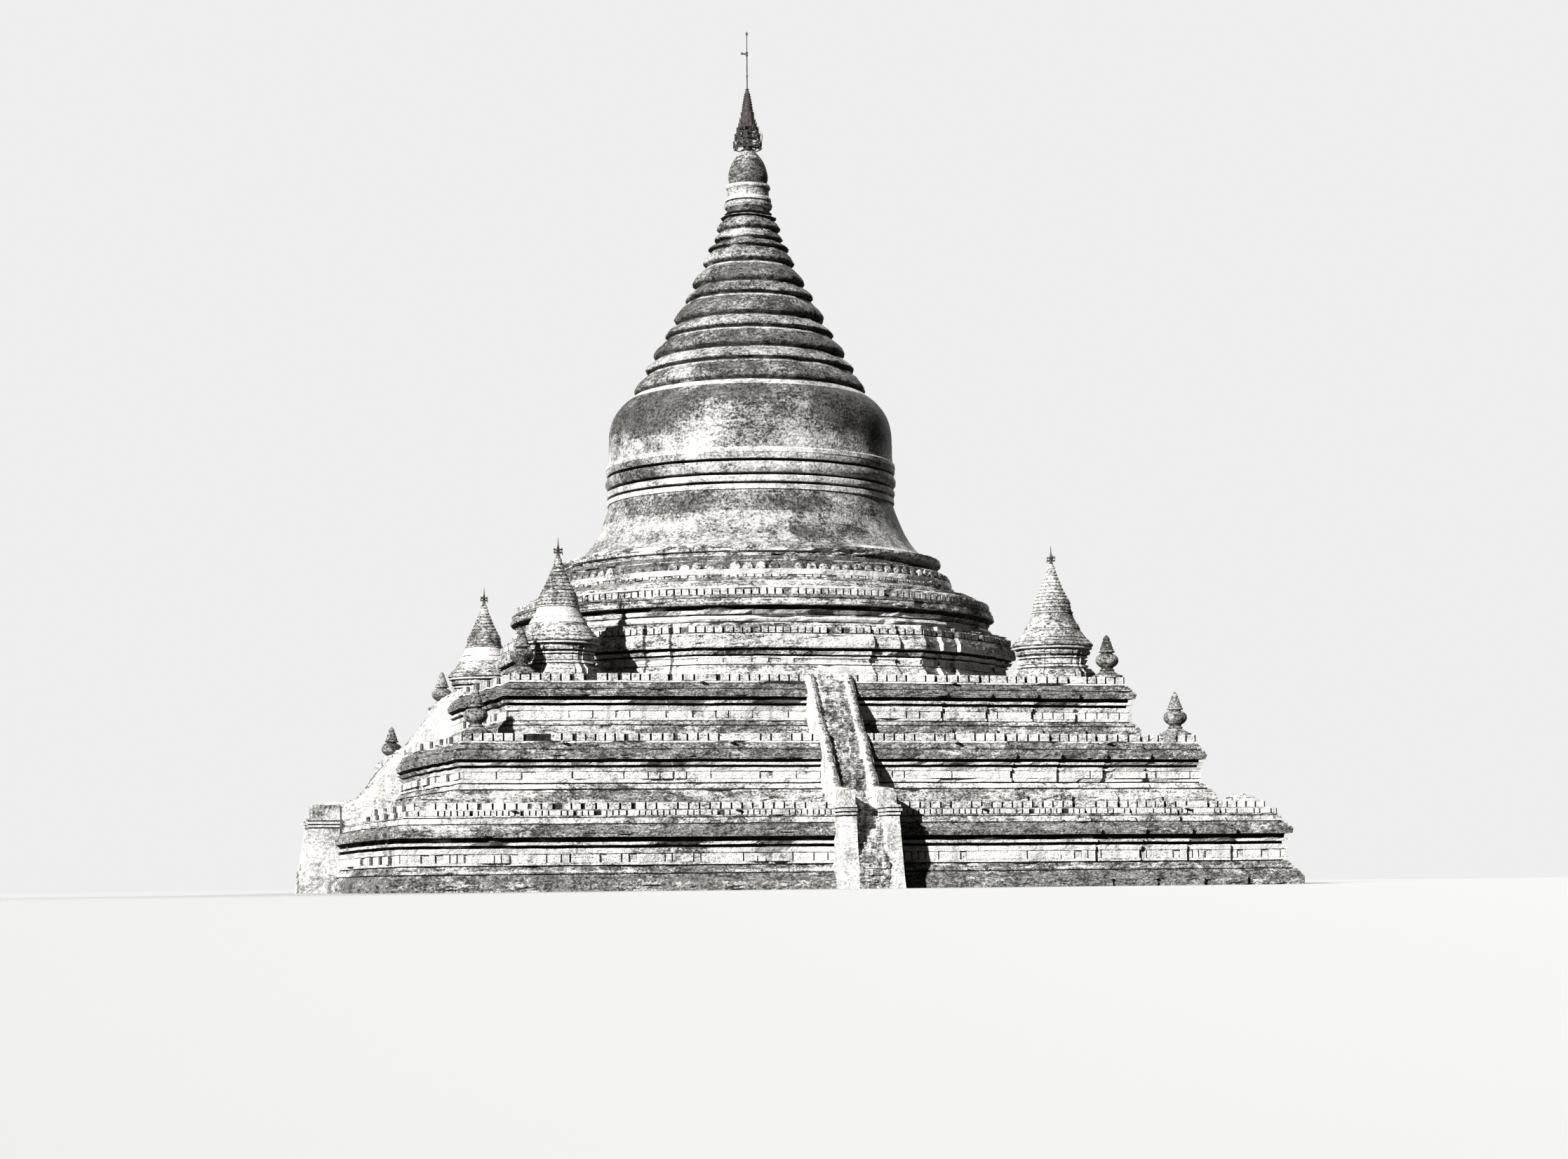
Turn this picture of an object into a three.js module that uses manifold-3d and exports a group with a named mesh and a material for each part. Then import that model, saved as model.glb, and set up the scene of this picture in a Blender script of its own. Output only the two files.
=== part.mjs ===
// A brick stupa, at half its real size: three square terraces with a stair on every side, an eight-sided
// tier, round tiers, a bell and a ringed spire under an iron crown with a turning vane.
// Millimetres, +Z up, the front stair faces -Y, and the origin is on the ground under the spire.

import * as THREE from "three";
import { mergeVertices } from "three/addons/utils/BufferGeometryUtils.js";
import Module from "manifold-3d";

const wasm = await Module();
wasm.setup();

// Driving dimensions. Outlines below are [radius or half-width, height above the ground], as shares of MODULE.
const MODEL_SCALE = 1 / 2;
const REAL_BAND_RADIUS = 6750;
const MODULE = REAL_BAND_RADIUS * MODEL_SCALE;
const SEAM = 0.3 / MODULE;
const ROUND_SIDES = 36;
const SPIRE_SIDES = 24;
const SMALL_SIDES = 12;
const POT_SIDES = 10;

// Heights at which the main pieces rest on each other.
const LOWER_TOP = 0.513;
const MIDDLE_TOP = 0.932;
const UPPER_TOP = 1.313;
const OCTAGON_TOP = 1.66;
const ROUND_TOP = 1.962;
const LOTUS_TOP = 2.222;
const FOOT_TOP = 2.615;
const BAND_TOP = 2.875;
const BELL_TOP = 3.35;
const SPIRE_TOP = 4.63;
const COLLAR_TOP = 4.847;
const BUD_TOP = 5.074;
const CROWN_TOP = 5.51;
const TIP = 5.924;

// The terraces' sides step forward towards the middle, at these distances from each corner.
const TERRACE_BREAKS = [0.38, 0.67, 0.975, 1.27];
const TERRACE_STEP = 0.022;
const OCTAGON_BREAKS = [0.177, 0.354];
const OCTAGON_STEP = 0.03;
const OCTAGON_HALF_WIDTH = 0.75;
const OCTAGON_APOTHEM = 1.64;

// Stair: the line of its nosings runs from the rim of the upper terrace down to the ground.
const STEP_COUNT = 34;
const STAIR_HEAD = 2.03;
const STAIR_SLOPE = 0.811;
const STEP_RISE = UPPER_TOP / STEP_COUNT;
const STEP_RUN = STEP_RISE * STAIR_SLOPE;
const FLIGHT_HALF_WIDTH = 0.092;
const PARAPET_OUTER = 0.147;
const STAIR_DEPTH = 0.257;
const PARAPET_PROUD = 0.058;
const PARAPET_LEDGE = 0.012;
const LANDING = 0.025;

// Ironwork.
const MAST_RADIUS = 0.03;
const ROD_RADIUS = 0.0042;
const VANE_HEIGHT = 5.764;
const VANE_COLLAR = 0.018;

const brick = new THREE.MeshStandardMaterial({ color: 0x7b746b, roughness: 0.95, metalness: 0 });
const stucco = new THREE.MeshStandardMaterial({ color: 0xa29b90, roughness: 0.9, metalness: 0 });
const iron = new THREE.MeshStandardMaterial({ color: 0x3a3733, roughness: 0.7, metalness: 0.6 });

const stupa = new THREE.Group();

function add(name, geometry, material, turn = 0) {
  const mesh = new THREE.Mesh(geometry, material);
  mesh.name = name;
  mesh.rotation.z = turn;
  stupa.add(mesh);
  return mesh;
}

function scaled(geometry) {
  geometry.scale(MODULE, MODULE, MODULE);
  return geometry;
}

// Booleans.
const WELD_DISTANCE = 1e-7;
function solidOf(geometry) {
  const bare = geometry.clone();
  bare.deleteAttribute("normal");
  bare.deleteAttribute("uv");
  const merged = mergeVertices(bare, WELD_DISTANCE);
  return new wasm.Manifold(
    new wasm.Mesh({
      numProp: 3,
      vertProperties: new Float32Array(merged.attributes.position.array),
      triVerts: new Uint32Array(merged.index.array),
    }),
  );
}

function geometryOf(solid) {
  const mesh = solid.getMesh();
  const geometry = new THREE.BufferGeometry();
  geometry.setAttribute("position", new THREE.BufferAttribute(mesh.vertProperties, 3));
  geometry.setIndex(new THREE.BufferAttribute(mesh.triVerts, 1));
  return geometry;
}

function joined(geometries) {
  return geometryOf(geometries.map(solidOf).reduce((whole, piece) => whole.add(piece)));
}

// A body turned about the Z axis, from an outline that runs upwards and starts and ends on the axis.
function turned(outline, sides) {
  const points = outline.map(([radius, height]) => new THREE.Vector2(radius, height));
  return new THREE.LatheGeometry(points, sides).rotateX(Math.PI / 2);
}

// A body stacked from level outlines of the same number of points, each [points, height].
function stacked(levels) {
  const count = levels[0][0].length;
  const positions = levels.flatMap(([points, height]) => points.flatMap(([x, y]) => [x, y, height]));
  const triangles = [];
  for (let level = 0; level < levels.length - 1; level += 1) {
    for (let i = 0; i < count; i += 1) {
      const a = level * count + i;
      const b = level * count + ((i + 1) % count);
      triangles.push(a, b, b + count, a, b + count, a + count);
    }
  }
  const outline = levels[0][0].map(([x, y]) => new THREE.Vector2(x, y));
  const top = (levels.length - 1) * count;
  for (const [a, b, c] of THREE.ShapeUtils.triangulateShape(outline, [])) {
    triangles.push(a, c, b, top + a, top + b, top + c);
  }
  const geometry = new THREE.BufferGeometry();
  geometry.setAttribute("position", new THREE.Float32BufferAttribute(positions, 3));
  geometry.setIndex(triangles);
  return geometry;
}

// One side of a stepped plan, from its left corner to its right, facing -Y.
function steppedSide(halfWidth, front, breaks, step) {
  const left = [];
  left.push([-halfWidth, -front]);
  breaks.forEach((distance, i) => {
    left.push([distance - halfWidth, -front - step * i]);
    left.push([distance - halfWidth, -front - step * (i + 1)]);
  });
  const right = left.slice(1).reverse();
  return [...left, ...right.map(([x, y]) => [-x, y])];
}

function turnedSide(side, angle) {
  const [c, s] = [Math.cos(angle), Math.sin(angle)];
  return side.map(([x, y]) => [x * c - y * s, x * s + y * c]);
}

function squarePlan(halfWidth, breaks, step) {
  const side = steppedSide(halfWidth, halfWidth, breaks, step);
  return [0, 1, 2, 3].flatMap((quarter) => turnedSide(side, (quarter * Math.PI) / 2));
}

// The eight-sided plan: four faces square to the axes and four diagonal ones between their ends.
function octagonPlan(offset) {
  const halfWidth = OCTAGON_HALF_WIDTH + offset * Math.tan(Math.PI / 8);
  const front = OCTAGON_APOTHEM + offset;
  const face = steppedSide(halfWidth, front, OCTAGON_BREAKS, OCTAGON_STEP);
  const diagonalHalf = (front - halfWidth) / Math.SQRT2;
  const diagonalFront = (front + halfWidth) / Math.SQRT2;
  const diagonal = steppedSide(diagonalHalf, diagonalFront, OCTAGON_BREAKS, OCTAGON_STEP);
  const eighth = Math.PI / 4;
  return [0, 2, 4, 6].flatMap((turn) => [
    ...turnedSide(face, turn * eighth),
    ...turnedSide(diagonal, (turn + 1) * eighth),
  ]);
}

// A flat-sided piece of the stair: its outline is [distance in front of the axis, height].
function stairPrism(outline, leftX, rightX) {
  const shape = new THREE.Shape(outline.map(([front, height]) => new THREE.Vector2(front, height)));
  const geometry = new THREE.ExtrudeGeometry(shape, { depth: rightX - leftX, bevelEnabled: false });
  const forward = new THREE.Vector3(0, -1, 0);
  const up = new THREE.Vector3(0, 0, 1);
  const across = new THREE.Vector3(-1, 0, 0);
  geometry.applyMatrix4(new THREE.Matrix4().makeBasis(forward, up, across));
  return geometry.translate(rightX, 0, 0);
}

const nosing = (height) => STAIR_HEAD + (UPPER_TOP - height) * STAIR_SLOPE;

// The slot that a stair leaves in the terraces, behind a slope parallel to its nosings. What cuts it runs past
// the terraces above, below and in front.
const SLOT_SPARE = 0.1;
const SLOT_FRONT = 4;
function stairSlot() {
  const back = STAIR_DEPTH + SEAM * 2;
  const head = UPPER_TOP + SLOT_SPARE;
  const foot = -SLOT_SPARE;
  const outline = [
    [nosing(head) - back, head],
    [nosing(foot) - back, foot],
    [SLOT_FRONT, foot],
    [SLOT_FRONT, head],
  ];
  return stairPrism(outline.reverse(), -PARAPET_OUTER - SEAM, PARAPET_OUTER + SEAM);
}

function stairFlight() {
  const outline = [
    [nosing(UPPER_TOP) - STAIR_DEPTH, UPPER_TOP],
    [nosing(0) - STAIR_DEPTH, 0],
  ];
  for (let step = STEP_COUNT - 1; step >= 0; step -= 1) {
    const front = STAIR_HEAD + step * STEP_RUN;
    outline.push([front, UPPER_TOP - (step + 1) * STEP_RISE], [front, UPPER_TOP - step * STEP_RISE]);
  }
  return stairPrism(outline.reverse(), -FLIGHT_HALF_WIDTH + SEAM, FLIGHT_HALF_WIDTH - SEAM);
}

// The post that ends a parapet: tapered shaft, moulded cap and upper block.
const POST_FOOT = [0.187, 3.06];
const POST_NECK = [0.17, 3.0];
const POST_CAP = [0.182, 3.02];
const POST_BLOCK = [0.163, 2.975];
const POST_BACK = 2.8;
const POST_TOP = 0.585;

function stairPost(grow) {
  const levels = [
    [POST_FOOT, 0],
    [POST_NECK, 0.43],
    [POST_CAP, 0.445],
    [POST_CAP, 0.485],
    [POST_BLOCK, 0.492],
    [POST_BLOCK, POST_TOP],
  ];
  return stacked(
    levels.map(([[outer, front], height], i) => {
      const inner = FLIGHT_HALF_WIDTH - grow;
      const plan = [
        [inner, -front - grow],
        [outer + grow, -front - grow],
        [outer + grow, grow - POST_BACK],
        [inner, grow - POST_BACK],
      ];
      return [plan, i === 0 ? -grow : height];
    }),
  );
}

// The sloping wall of a parapet steps out by a landing at the middle terrace and runs on into its post.
const POST_LAP = 0.15;
function stairParapet() {
  const landing = nosing(MIDDLE_TOP) + PARAPET_PROUD;
  const setBack = PARAPET_LEDGE * STAIR_SLOPE;
  const outline = [
    [nosing(UPPER_TOP) - STAIR_DEPTH, UPPER_TOP + PARAPET_LEDGE],
    [nosing(UPPER_TOP) - STAIR_DEPTH, UPPER_TOP],
    [nosing(0) - STAIR_DEPTH, 0],
    [POST_BACK + POST_LAP, 0],
    [POST_BACK + POST_LAP, POST_TOP],
    [nosing(POST_TOP) + PARAPET_PROUD + LANDING, POST_TOP],
    [landing + LANDING, MIDDLE_TOP + PARAPET_LEDGE],
    [landing - setBack, MIDDLE_TOP + PARAPET_LEDGE],
    [nosing(UPPER_TOP) + PARAPET_PROUD - setBack, UPPER_TOP + PARAPET_LEDGE],
  ];
  const wall = stairPrism(outline, FLIGHT_HALF_WIDTH, PARAPET_OUTER);
  return joined([wall, stairPost(0)]);
}

function mirrored(geometry) {
  const copy = geometry.clone().scale(-1, 1, 1);
  const order = copy.index.array;
  for (let i = 0; i < order.length; i += 3) {
    [order[i + 1], order[i + 2]] = [order[i + 2], order[i + 1]];
  }
  return copy;
}

const SIDES = ["front", "right", "back", "left"];
const quarterTurn = (side) => (side * Math.PI) / 2;

// Terraces. Each outline is [half-width at the corner, height].
const LOWER_OUTLINE = [
  [2.79, 0],
  [2.79, 0.045],
  [2.745, 0.1],
  [2.7, 0.15],
  [2.7, 0.21],
  [2.735, 0.25],
  [2.744, 0.335],
  [2.691, 0.394],
  [2.666, 0.451],
  [2.612, 0.472],
  [2.612, LOWER_TOP],
];
const MIDDLE_OUTLINE = [
  [2.395, LOWER_TOP + SEAM],
  [2.395, 0.545],
  [2.354, 0.603],
  [2.309, 0.64],
  [2.309, 0.705],
  [2.34, 0.735],
  [2.351, 0.8],
  [2.319, 0.853],
  [2.296, 0.882],
  [2.296, MIDDLE_TOP],
];
const UPPER_OUTLINE = [
  [2.037, MIDDLE_TOP + SEAM],
  [2.037, 0.967],
  [2.001, 1.017],
  [1.977, 1.045],
  [1.977, 1.1],
  [2.003, 1.141],
  [2.017, 1.19],
  [1.987, 1.24],
  [1.96, 1.274],
  [1.958, UPPER_TOP],
];

// The broken foot of a pot that stood on each corner of the lower terrace.
const STUMP_CENTRE = 2.5;
const STUMP_OUTLINE = [
  [0.1, LOWER_TOP - 0.01],
  [0.1, LOWER_TOP + 0.012],
  [0.055, LOWER_TOP + 0.045],
];
function stump(corner) {
  const geometry = stacked(STUMP_OUTLINE.map(([halfWidth, height]) => [squarePlan(halfWidth, [], 0), height]));
  return geometry.translate(STUMP_CENTRE, -STUMP_CENTRE, 0).rotateZ(quarterTurn(corner));
}

function terrace(outline, additions = []) {
  const levels = outline.map(([halfWidth, height]) => [
    squarePlan(halfWidth, TERRACE_BREAKS, TERRACE_STEP),
    height,
  ]);
  let solid = solidOf(stacked(levels));
  for (const addition of additions) {
    solid = solid.add(solidOf(addition));
  }
  for (const side of [0, 1, 2, 3]) {
    const cutters = [stairSlot(), stairPost(SEAM), mirrored(stairPost(SEAM))];
    for (const cutter of cutters) {
      solid = solid.subtract(solidOf(cutter.rotateZ(quarterTurn(side))));
    }
  }
  return scaled(geometryOf(solid));
}

add("lower_terrace", terrace(LOWER_OUTLINE, [0, 1, 2, 3].map(stump)), brick);
add("middle_terrace", terrace(MIDDLE_OUTLINE), brick);
add("upper_terrace", terrace(UPPER_OUTLINE), brick);

// Stairs: a flight between two parapets on every side.
const flight = scaled(stairFlight());
const rightParapet = scaled(stairParapet());
const leftParapet = mirrored(rightParapet);
SIDES.forEach((side, i) => {
  add(`${side}_stair_flight`, flight, brick, quarterTurn(i));
  add(`${side}_stair_right_parapet`, rightParapet, stucco, quarterTurn(i));
  add(`${side}_stair_left_parapet`, leftParapet, stucco, quarterTurn(i));
});

// Eight-sided tier: [offset from its widest plan, height].
const OCTAGON_OUTLINE = [
  [0, UPPER_TOP + SEAM],
  [0, 1.345],
  [-0.045, 1.398],
  [-0.045, 1.46],
  [0, 1.505],
  [0, 1.55],
  [-0.03, 1.61],
  [-0.03, OCTAGON_TOP],
];
const octagonLevels = OCTAGON_OUTLINE.map(([offset, height]) => [octagonPlan(offset), height]);
add("octagonal_tier", scaled(stacked(octagonLevels)), brick);

// Round tiers, bell and spire: [radius, height].
const roundTier = [
  [0, OCTAGON_TOP + SEAM],
  [1.62, OCTAGON_TOP + SEAM],
  [1.6, 1.735],
  [1.6, 1.765],
  [1.645, 1.785],
  [1.627, 1.834],
  [1.604, 1.872],
  [1.543, 1.911],
  [1.416, ROUND_TOP],
  [0, ROUND_TOP],
];
const lotusRing = [
  [0, ROUND_TOP + SEAM],
  [1.4, ROUND_TOP + SEAM],
  [1.33, 2.059],
  [1.294, 2.118],
  [1.262, 2.205],
  [1.2, LOTUS_TOP],
  [0, LOTUS_TOP],
];
const bellFoot = [
  [0, LOTUS_TOP + SEAM],
  [1.18, LOTUS_TOP + SEAM],
  [1.11, 2.3],
  [1.05, 2.387],
  [1.008, 2.51],
  [0.985, 2.557],
  [0.97, FOOT_TOP],
  [0, FOOT_TOP],
];
const bellBand = [
  [0, FOOT_TOP + SEAM],
  [0.97, FOOT_TOP + SEAM],
  [0.96, 2.643],
  [0.987, 2.66],
  [0.985, 2.69],
  [0.965, 2.705],
  [0.995, 2.73],
  [0.985, 2.78],
  [0.965, 2.798],
  [0.99, 2.82],
  [0.99, 2.85],
  [0.975, BAND_TOP],
  [0, BAND_TOP],
];
const bell = [
  [0, BAND_TOP + SEAM],
  [0.975, BAND_TOP + SEAM],
  [0.972, 2.99],
  [0.969, 3.1],
  [0.942, 3.185],
  [0.88, 3.285],
  [0.81, BELL_TOP],
  [0, BELL_TOP],
];
const spireRings = [
  [0.802, 3.37],
  [0.728, 3.518],
  [0.67, 3.617],
  [0.588, 3.763],
  [0.528, 3.862],
  [0.453, 4.019],
  [0.4, 4.117],
  [0.321, 4.265],
  [0.286, 4.373],
  [0.242, 4.435],
  [0.228, 4.51],
  [0.203, 4.6],
];
const RING_GROOVE = 0.02;

function ringedSpire() {
  const outline = [
    [0, BELL_TOP + SEAM],
    [spireRings[0][0] - RING_GROOVE, BELL_TOP + SEAM],
  ];
  for (const [radius, height] of spireRings) {
    outline.push([radius, height], [radius - RING_GROOVE, height + RING_GROOVE]);
  }
  outline.push([0.16, SPIRE_TOP], [0, SPIRE_TOP]);
  return outline;
}

const spireCollar = [
  [0, SPIRE_TOP + SEAM],
  [0.15, SPIRE_TOP + SEAM],
  [0.155, 4.66],
  [0.165, 4.705],
  [0.146, 4.755],
  [0.152, 4.83],
  [0.135, COLLAR_TOP],
  [0, COLLAR_TOP],
];
const spireBud = [
  [0, COLLAR_TOP + SEAM],
  [0.13, COLLAR_TOP + SEAM],
  [0.138, 4.88],
  [0.124, 4.955],
  [0.09, 5.02],
  [0.047, BUD_TOP],
  [0, BUD_TOP],
];

add("round_tier", scaled(turned(roundTier, ROUND_SIDES)), brick);
add("lotus_ring", scaled(turned(lotusRing, ROUND_SIDES)), brick);
add("bell_foot", scaled(turned(bellFoot, ROUND_SIDES)), stucco);
add("bell_band", scaled(turned(bellBand, ROUND_SIDES)), stucco);
add("bell", scaled(turned(bell, ROUND_SIDES)), stucco);
add("ringed_spire", scaled(turned(ringedSpire(), SPIRE_SIDES)), stucco);
add("spire_collar", scaled(turned(spireCollar, SPIRE_SIDES)), stucco);
add("spire_bud", scaled(turned(spireBud, SPIRE_SIDES)), stucco);

// Iron crown: a mast with a hollow-sided cone on it, and two hooped tiers around the mast.
const crown = [
  [0, BUD_TOP + SEAM],
  [0.044, BUD_TOP + SEAM],
  [MAST_RADIUS, 5.085],
  [MAST_RADIUS, 5.225],
  [0.066, 5.235],
  [0.058, 5.262],
  [0.05, 5.29],
  [0.043, 5.324],
  [0.0335, 5.4],
  [0.0204, 5.475],
  [0.007, CROWN_TOP],
  [0, CROWN_TOP],
];
add("crown_cone", scaled(turned(crown, SMALL_SIDES)), iron);

const SPOKES = 6;
const SPOKE_WIDTH = 0.006;
const HUB_WALL = 0.008;
const HOOP_WALL = 0.01;
function ringBody(inner, outer, low, high, sides) {
  const section = [
    [inner, low],
    [outer, low],
    [outer, high],
    [inner, high],
    [inner, low],
  ];
  return turned(section, sides);
}

function hoopedTier(radius, low, high) {
  const hub = ringBody(MAST_RADIUS + SEAM, MAST_RADIUS + HUB_WALL, low, high, SMALL_SIDES);
  const hoop = ringBody(radius - HOOP_WALL, radius, low, high, SMALL_SIDES);
  const pieces = [hub, hoop];
  const spokeStart = MAST_RADIUS + HUB_WALL / 2;
  const spokeEnd = radius - HOOP_WALL / 2;
  for (let spoke = 0; spoke < SPOKES; spoke += 1) {
    const bar = new THREE.BoxGeometry(spokeEnd - spokeStart, SPOKE_WIDTH, (high - low) / 2);
    bar.translate((spokeStart + spokeEnd) / 2, 0, (low + high) / 2);
    pieces.push(bar.rotateZ((spoke + 0.5) * ((2 * Math.PI) / SPOKES)));
  }
  return joined(pieces);
}

add("crown_lower_hoop", scaled(hoopedTier(0.098, 5.095, 5.135)), iron);
add("crown_upper_hoop", scaled(hoopedTier(0.088, 5.155, 5.19)), iron);

// Finial: a rod with a shoulder under the vane's collar, a stop above it, a thinner tip and a knob.
const SHOULDER = ROD_RADIUS + 0.0035;
const SHOULDER_FLAT = 0.005;
const SHOULDER_TAPER = 0.003;
const SHOULDER_TOP = VANE_HEIGHT - VANE_COLLAR / 2 - SEAM;
const STOP_FLAT = 0.004;
const STOP_BOTTOM = VANE_HEIGHT + VANE_COLLAR / 2 + SEAM * 4;
const TIP_RADIUS = ROD_RADIUS * 0.7;
const KNOB_RADIUS = 0.009;
const KNOB_HEIGHT = 0.03;
const finial = [
  [0, CROWN_TOP + SEAM],
  [ROD_RADIUS, CROWN_TOP + SEAM],
  [ROD_RADIUS, SHOULDER_TOP - SHOULDER_FLAT - SHOULDER_TAPER],
  [SHOULDER, SHOULDER_TOP - SHOULDER_FLAT],
  [SHOULDER, SHOULDER_TOP],
  [ROD_RADIUS, SHOULDER_TOP],
  [ROD_RADIUS, STOP_BOTTOM],
  [SHOULDER, STOP_BOTTOM],
  [SHOULDER, STOP_BOTTOM + STOP_FLAT],
  [TIP_RADIUS, STOP_BOTTOM + STOP_FLAT * 2],
  [TIP_RADIUS, TIP - KNOB_HEIGHT],
  [KNOB_RADIUS, TIP - KNOB_HEIGHT * 0.6],
  [0, TIP],
];
add("finial_rod", scaled(turned(finial, POT_SIDES)), iron);

// Vane: a forked pennant on a collar that turns freely on the rod.
const COLLAR_BORE = ROD_RADIUS + SEAM * 4;
const COLLAR_OUTER = COLLAR_BORE + 0.0025;
const VANE_LAP = 0.001;
const VANE_REACH = 0.045;
const VANE_HALF_HEIGHT = 0.012;
const VANE_THICKNESS = 0.0024;
function vane() {
  const low = VANE_HEIGHT - VANE_COLLAR / 2;
  const collar = ringBody(COLLAR_BORE, COLLAR_OUTER, low, low + VANE_COLLAR, POT_SIDES);
  const root = COLLAR_OUTER - VANE_LAP;
  const pennant = new THREE.Shape([
    new THREE.Vector2(root, -VANE_HALF_HEIGHT / 2),
    new THREE.Vector2(VANE_REACH * 0.7, -VANE_HALF_HEIGHT),
    new THREE.Vector2(VANE_REACH, -VANE_HALF_HEIGHT / 3),
    new THREE.Vector2(VANE_REACH * 0.8, 0),
    new THREE.Vector2(VANE_REACH, VANE_HALF_HEIGHT),
    new THREE.Vector2(root, VANE_HALF_HEIGHT / 2),
  ]);
  const plate = new THREE.ExtrudeGeometry(pennant, { depth: VANE_THICKNESS, bevelEnabled: false });
  plate.translate(0, 0, -VANE_THICKNESS / 2).rotateX(Math.PI / 2).rotateZ(Math.PI);
  plate.translate(0, 0, VANE_HEIGHT);
  return joined([collar, plate]);
}
add("vane", scaled(vane()), iron);

// Corner stupas on the upper terrace: eight-sided moulded base, round bell and ringed cone.
const CORNER_STUPA_CENTRE = 1.603;
const EIGHT_SIDES = 8;
const cornerBase = [
  [0, UPPER_TOP + SEAM],
  [0.28, UPPER_TOP + SEAM],
  [0.28, 1.345],
  [0.229, 1.398],
  [0.224, 1.43],
  [0.249, 1.475],
  [0.249, 1.5],
  [0, 1.5],
];
const cornerBell = [
  [0, 1.49],
  [0.235, 1.495],
  [0.26, 1.535],
  [0.227, 1.575],
  [0.159, 1.667],
  [0.135, 1.713],
  [0.119, 1.805],
  [0.074, 1.897],
  [0.036, 1.989],
  [0.018, 2.06],
  [0, 2.06],
];
const cornerFinial = [
  [0, 2.06 + SEAM],
  [0.013, 2.06 + SEAM],
  [0.013, 2.08],
  [0.028, 2.085],
  [0.028, 2.1],
  [0.01, 2.12],
  [0, 2.182],
];

function cornerStupa() {
  const base = turned(cornerBase, EIGHT_SIDES).rotateZ(Math.PI / EIGHT_SIDES);
  return joined([base, turned(cornerBell, SMALL_SIDES)]);
}

// Lidded pots: [radius, height above the terrace they stand on].
const pot = [
  [0, SEAM],
  [0.1, SEAM],
  [0.092, 0.025],
  [0.045, 0.045],
  [0.038, 0.062],
  [0.072, 0.1],
  [0.07, 0.13],
  [0.035, 0.156],
  [0.05, 0.163],
  [0.012, 0.262],
  [0, 0.272],
];
const UPPER_POT_CENTRE = 1.872;
const MIDDLE_POT_CENTRE = 2.198;

const CORNERS = ["front_left", "front_right", "back_right", "back_left"];
const CORNER_SIGNS = [
  [-1, -1],
  [1, -1],
  [1, 1],
  [-1, 1],
];

function addAtCorner(name, geometry, material, corner, centre, height = 0) {
  const mesh = add(`${name}_${CORNERS[corner]}`, geometry, material);
  const [x, y] = CORNER_SIGNS[corner];
  mesh.position.set(x * centre * MODULE, y * centre * MODULE, height * MODULE);
}

const cornerStupaGeometry = scaled(cornerStupa());
const cornerFinialGeometry = scaled(turned(cornerFinial, POT_SIDES));
const potGeometry = scaled(turned(pot, POT_SIDES));
CORNERS.forEach((name, corner) => {
  addAtCorner("corner_stupa", cornerStupaGeometry, brick, corner, CORNER_STUPA_CENTRE);
  addAtCorner("corner_finial", cornerFinialGeometry, iron, corner, CORNER_STUPA_CENTRE);
  addAtCorner("upper_pot", potGeometry, stucco, corner, UPPER_POT_CENTRE, UPPER_TOP);
  addAtCorner("middle_pot", potGeometry, stucco, corner, MIDDLE_POT_CENTRE, MIDDLE_TOP);
});

export default stupa;
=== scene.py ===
"""A weathered brick stupa, dressed around its frame: brickwork, limewash, merlons, plaques and ironwork."""
import math
import random

import bmesh
import bpy
from mathutils import Matrix, Vector, noise


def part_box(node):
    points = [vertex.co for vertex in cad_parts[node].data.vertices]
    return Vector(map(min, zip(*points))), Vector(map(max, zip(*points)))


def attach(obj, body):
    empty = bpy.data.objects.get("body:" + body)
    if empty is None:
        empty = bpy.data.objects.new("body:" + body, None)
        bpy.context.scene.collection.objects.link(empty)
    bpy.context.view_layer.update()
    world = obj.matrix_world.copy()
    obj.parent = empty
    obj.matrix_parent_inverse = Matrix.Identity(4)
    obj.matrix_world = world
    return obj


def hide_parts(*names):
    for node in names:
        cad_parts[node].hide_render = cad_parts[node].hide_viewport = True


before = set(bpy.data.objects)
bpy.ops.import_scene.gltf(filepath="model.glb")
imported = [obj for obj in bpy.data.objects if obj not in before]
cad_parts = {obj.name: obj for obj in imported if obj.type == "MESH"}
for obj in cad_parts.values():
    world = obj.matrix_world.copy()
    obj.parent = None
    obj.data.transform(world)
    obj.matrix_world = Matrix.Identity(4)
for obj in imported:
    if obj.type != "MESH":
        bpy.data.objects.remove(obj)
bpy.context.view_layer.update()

# The building is measured in modules, as its masons did: half the width of the bell.
# Heights below are above the ground and radii from the axis, both in modules; the ground is the pale floor.
UPPER_TOP = 1.313
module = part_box("upper_terrace")[1].z / UPPER_TOP


def set_out(name, data):
    """Stands something new in the scene."""
    thing = bpy.data.objects.new(name, data)
    bpy.context.scene.collection.objects.link(thing)
    return thing


def new_material(name, roughness):
    material = bpy.data.materials.new(name)
    material.use_nodes = True
    shader = material.node_tree.nodes["Principled BSDF"].inputs
    shader["Roughness"].default_value = roughness
    return material, material.node_tree, shader


floor_size = 260
floor_corners = [(x * floor_size, y * floor_size, 0) for x, y in ((-1, -1), (1, -1), (1, 1), (-1, 1))]
floor_mesh = bpy.data.meshes.new("floor")
floor_mesh.from_pydata(floor_corners, [], [(0, 1, 2, 3)])
floor_paint, _, floor_shader = new_material("floor_paint", 1)
floor_shader["Base Color"].default_value = (0.46, 0.46, 0.455, 1)
floor_mesh.materials.append(floor_paint)
floor = set_out("floor", floor_mesh)
floor.visible_diffuse = False


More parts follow.
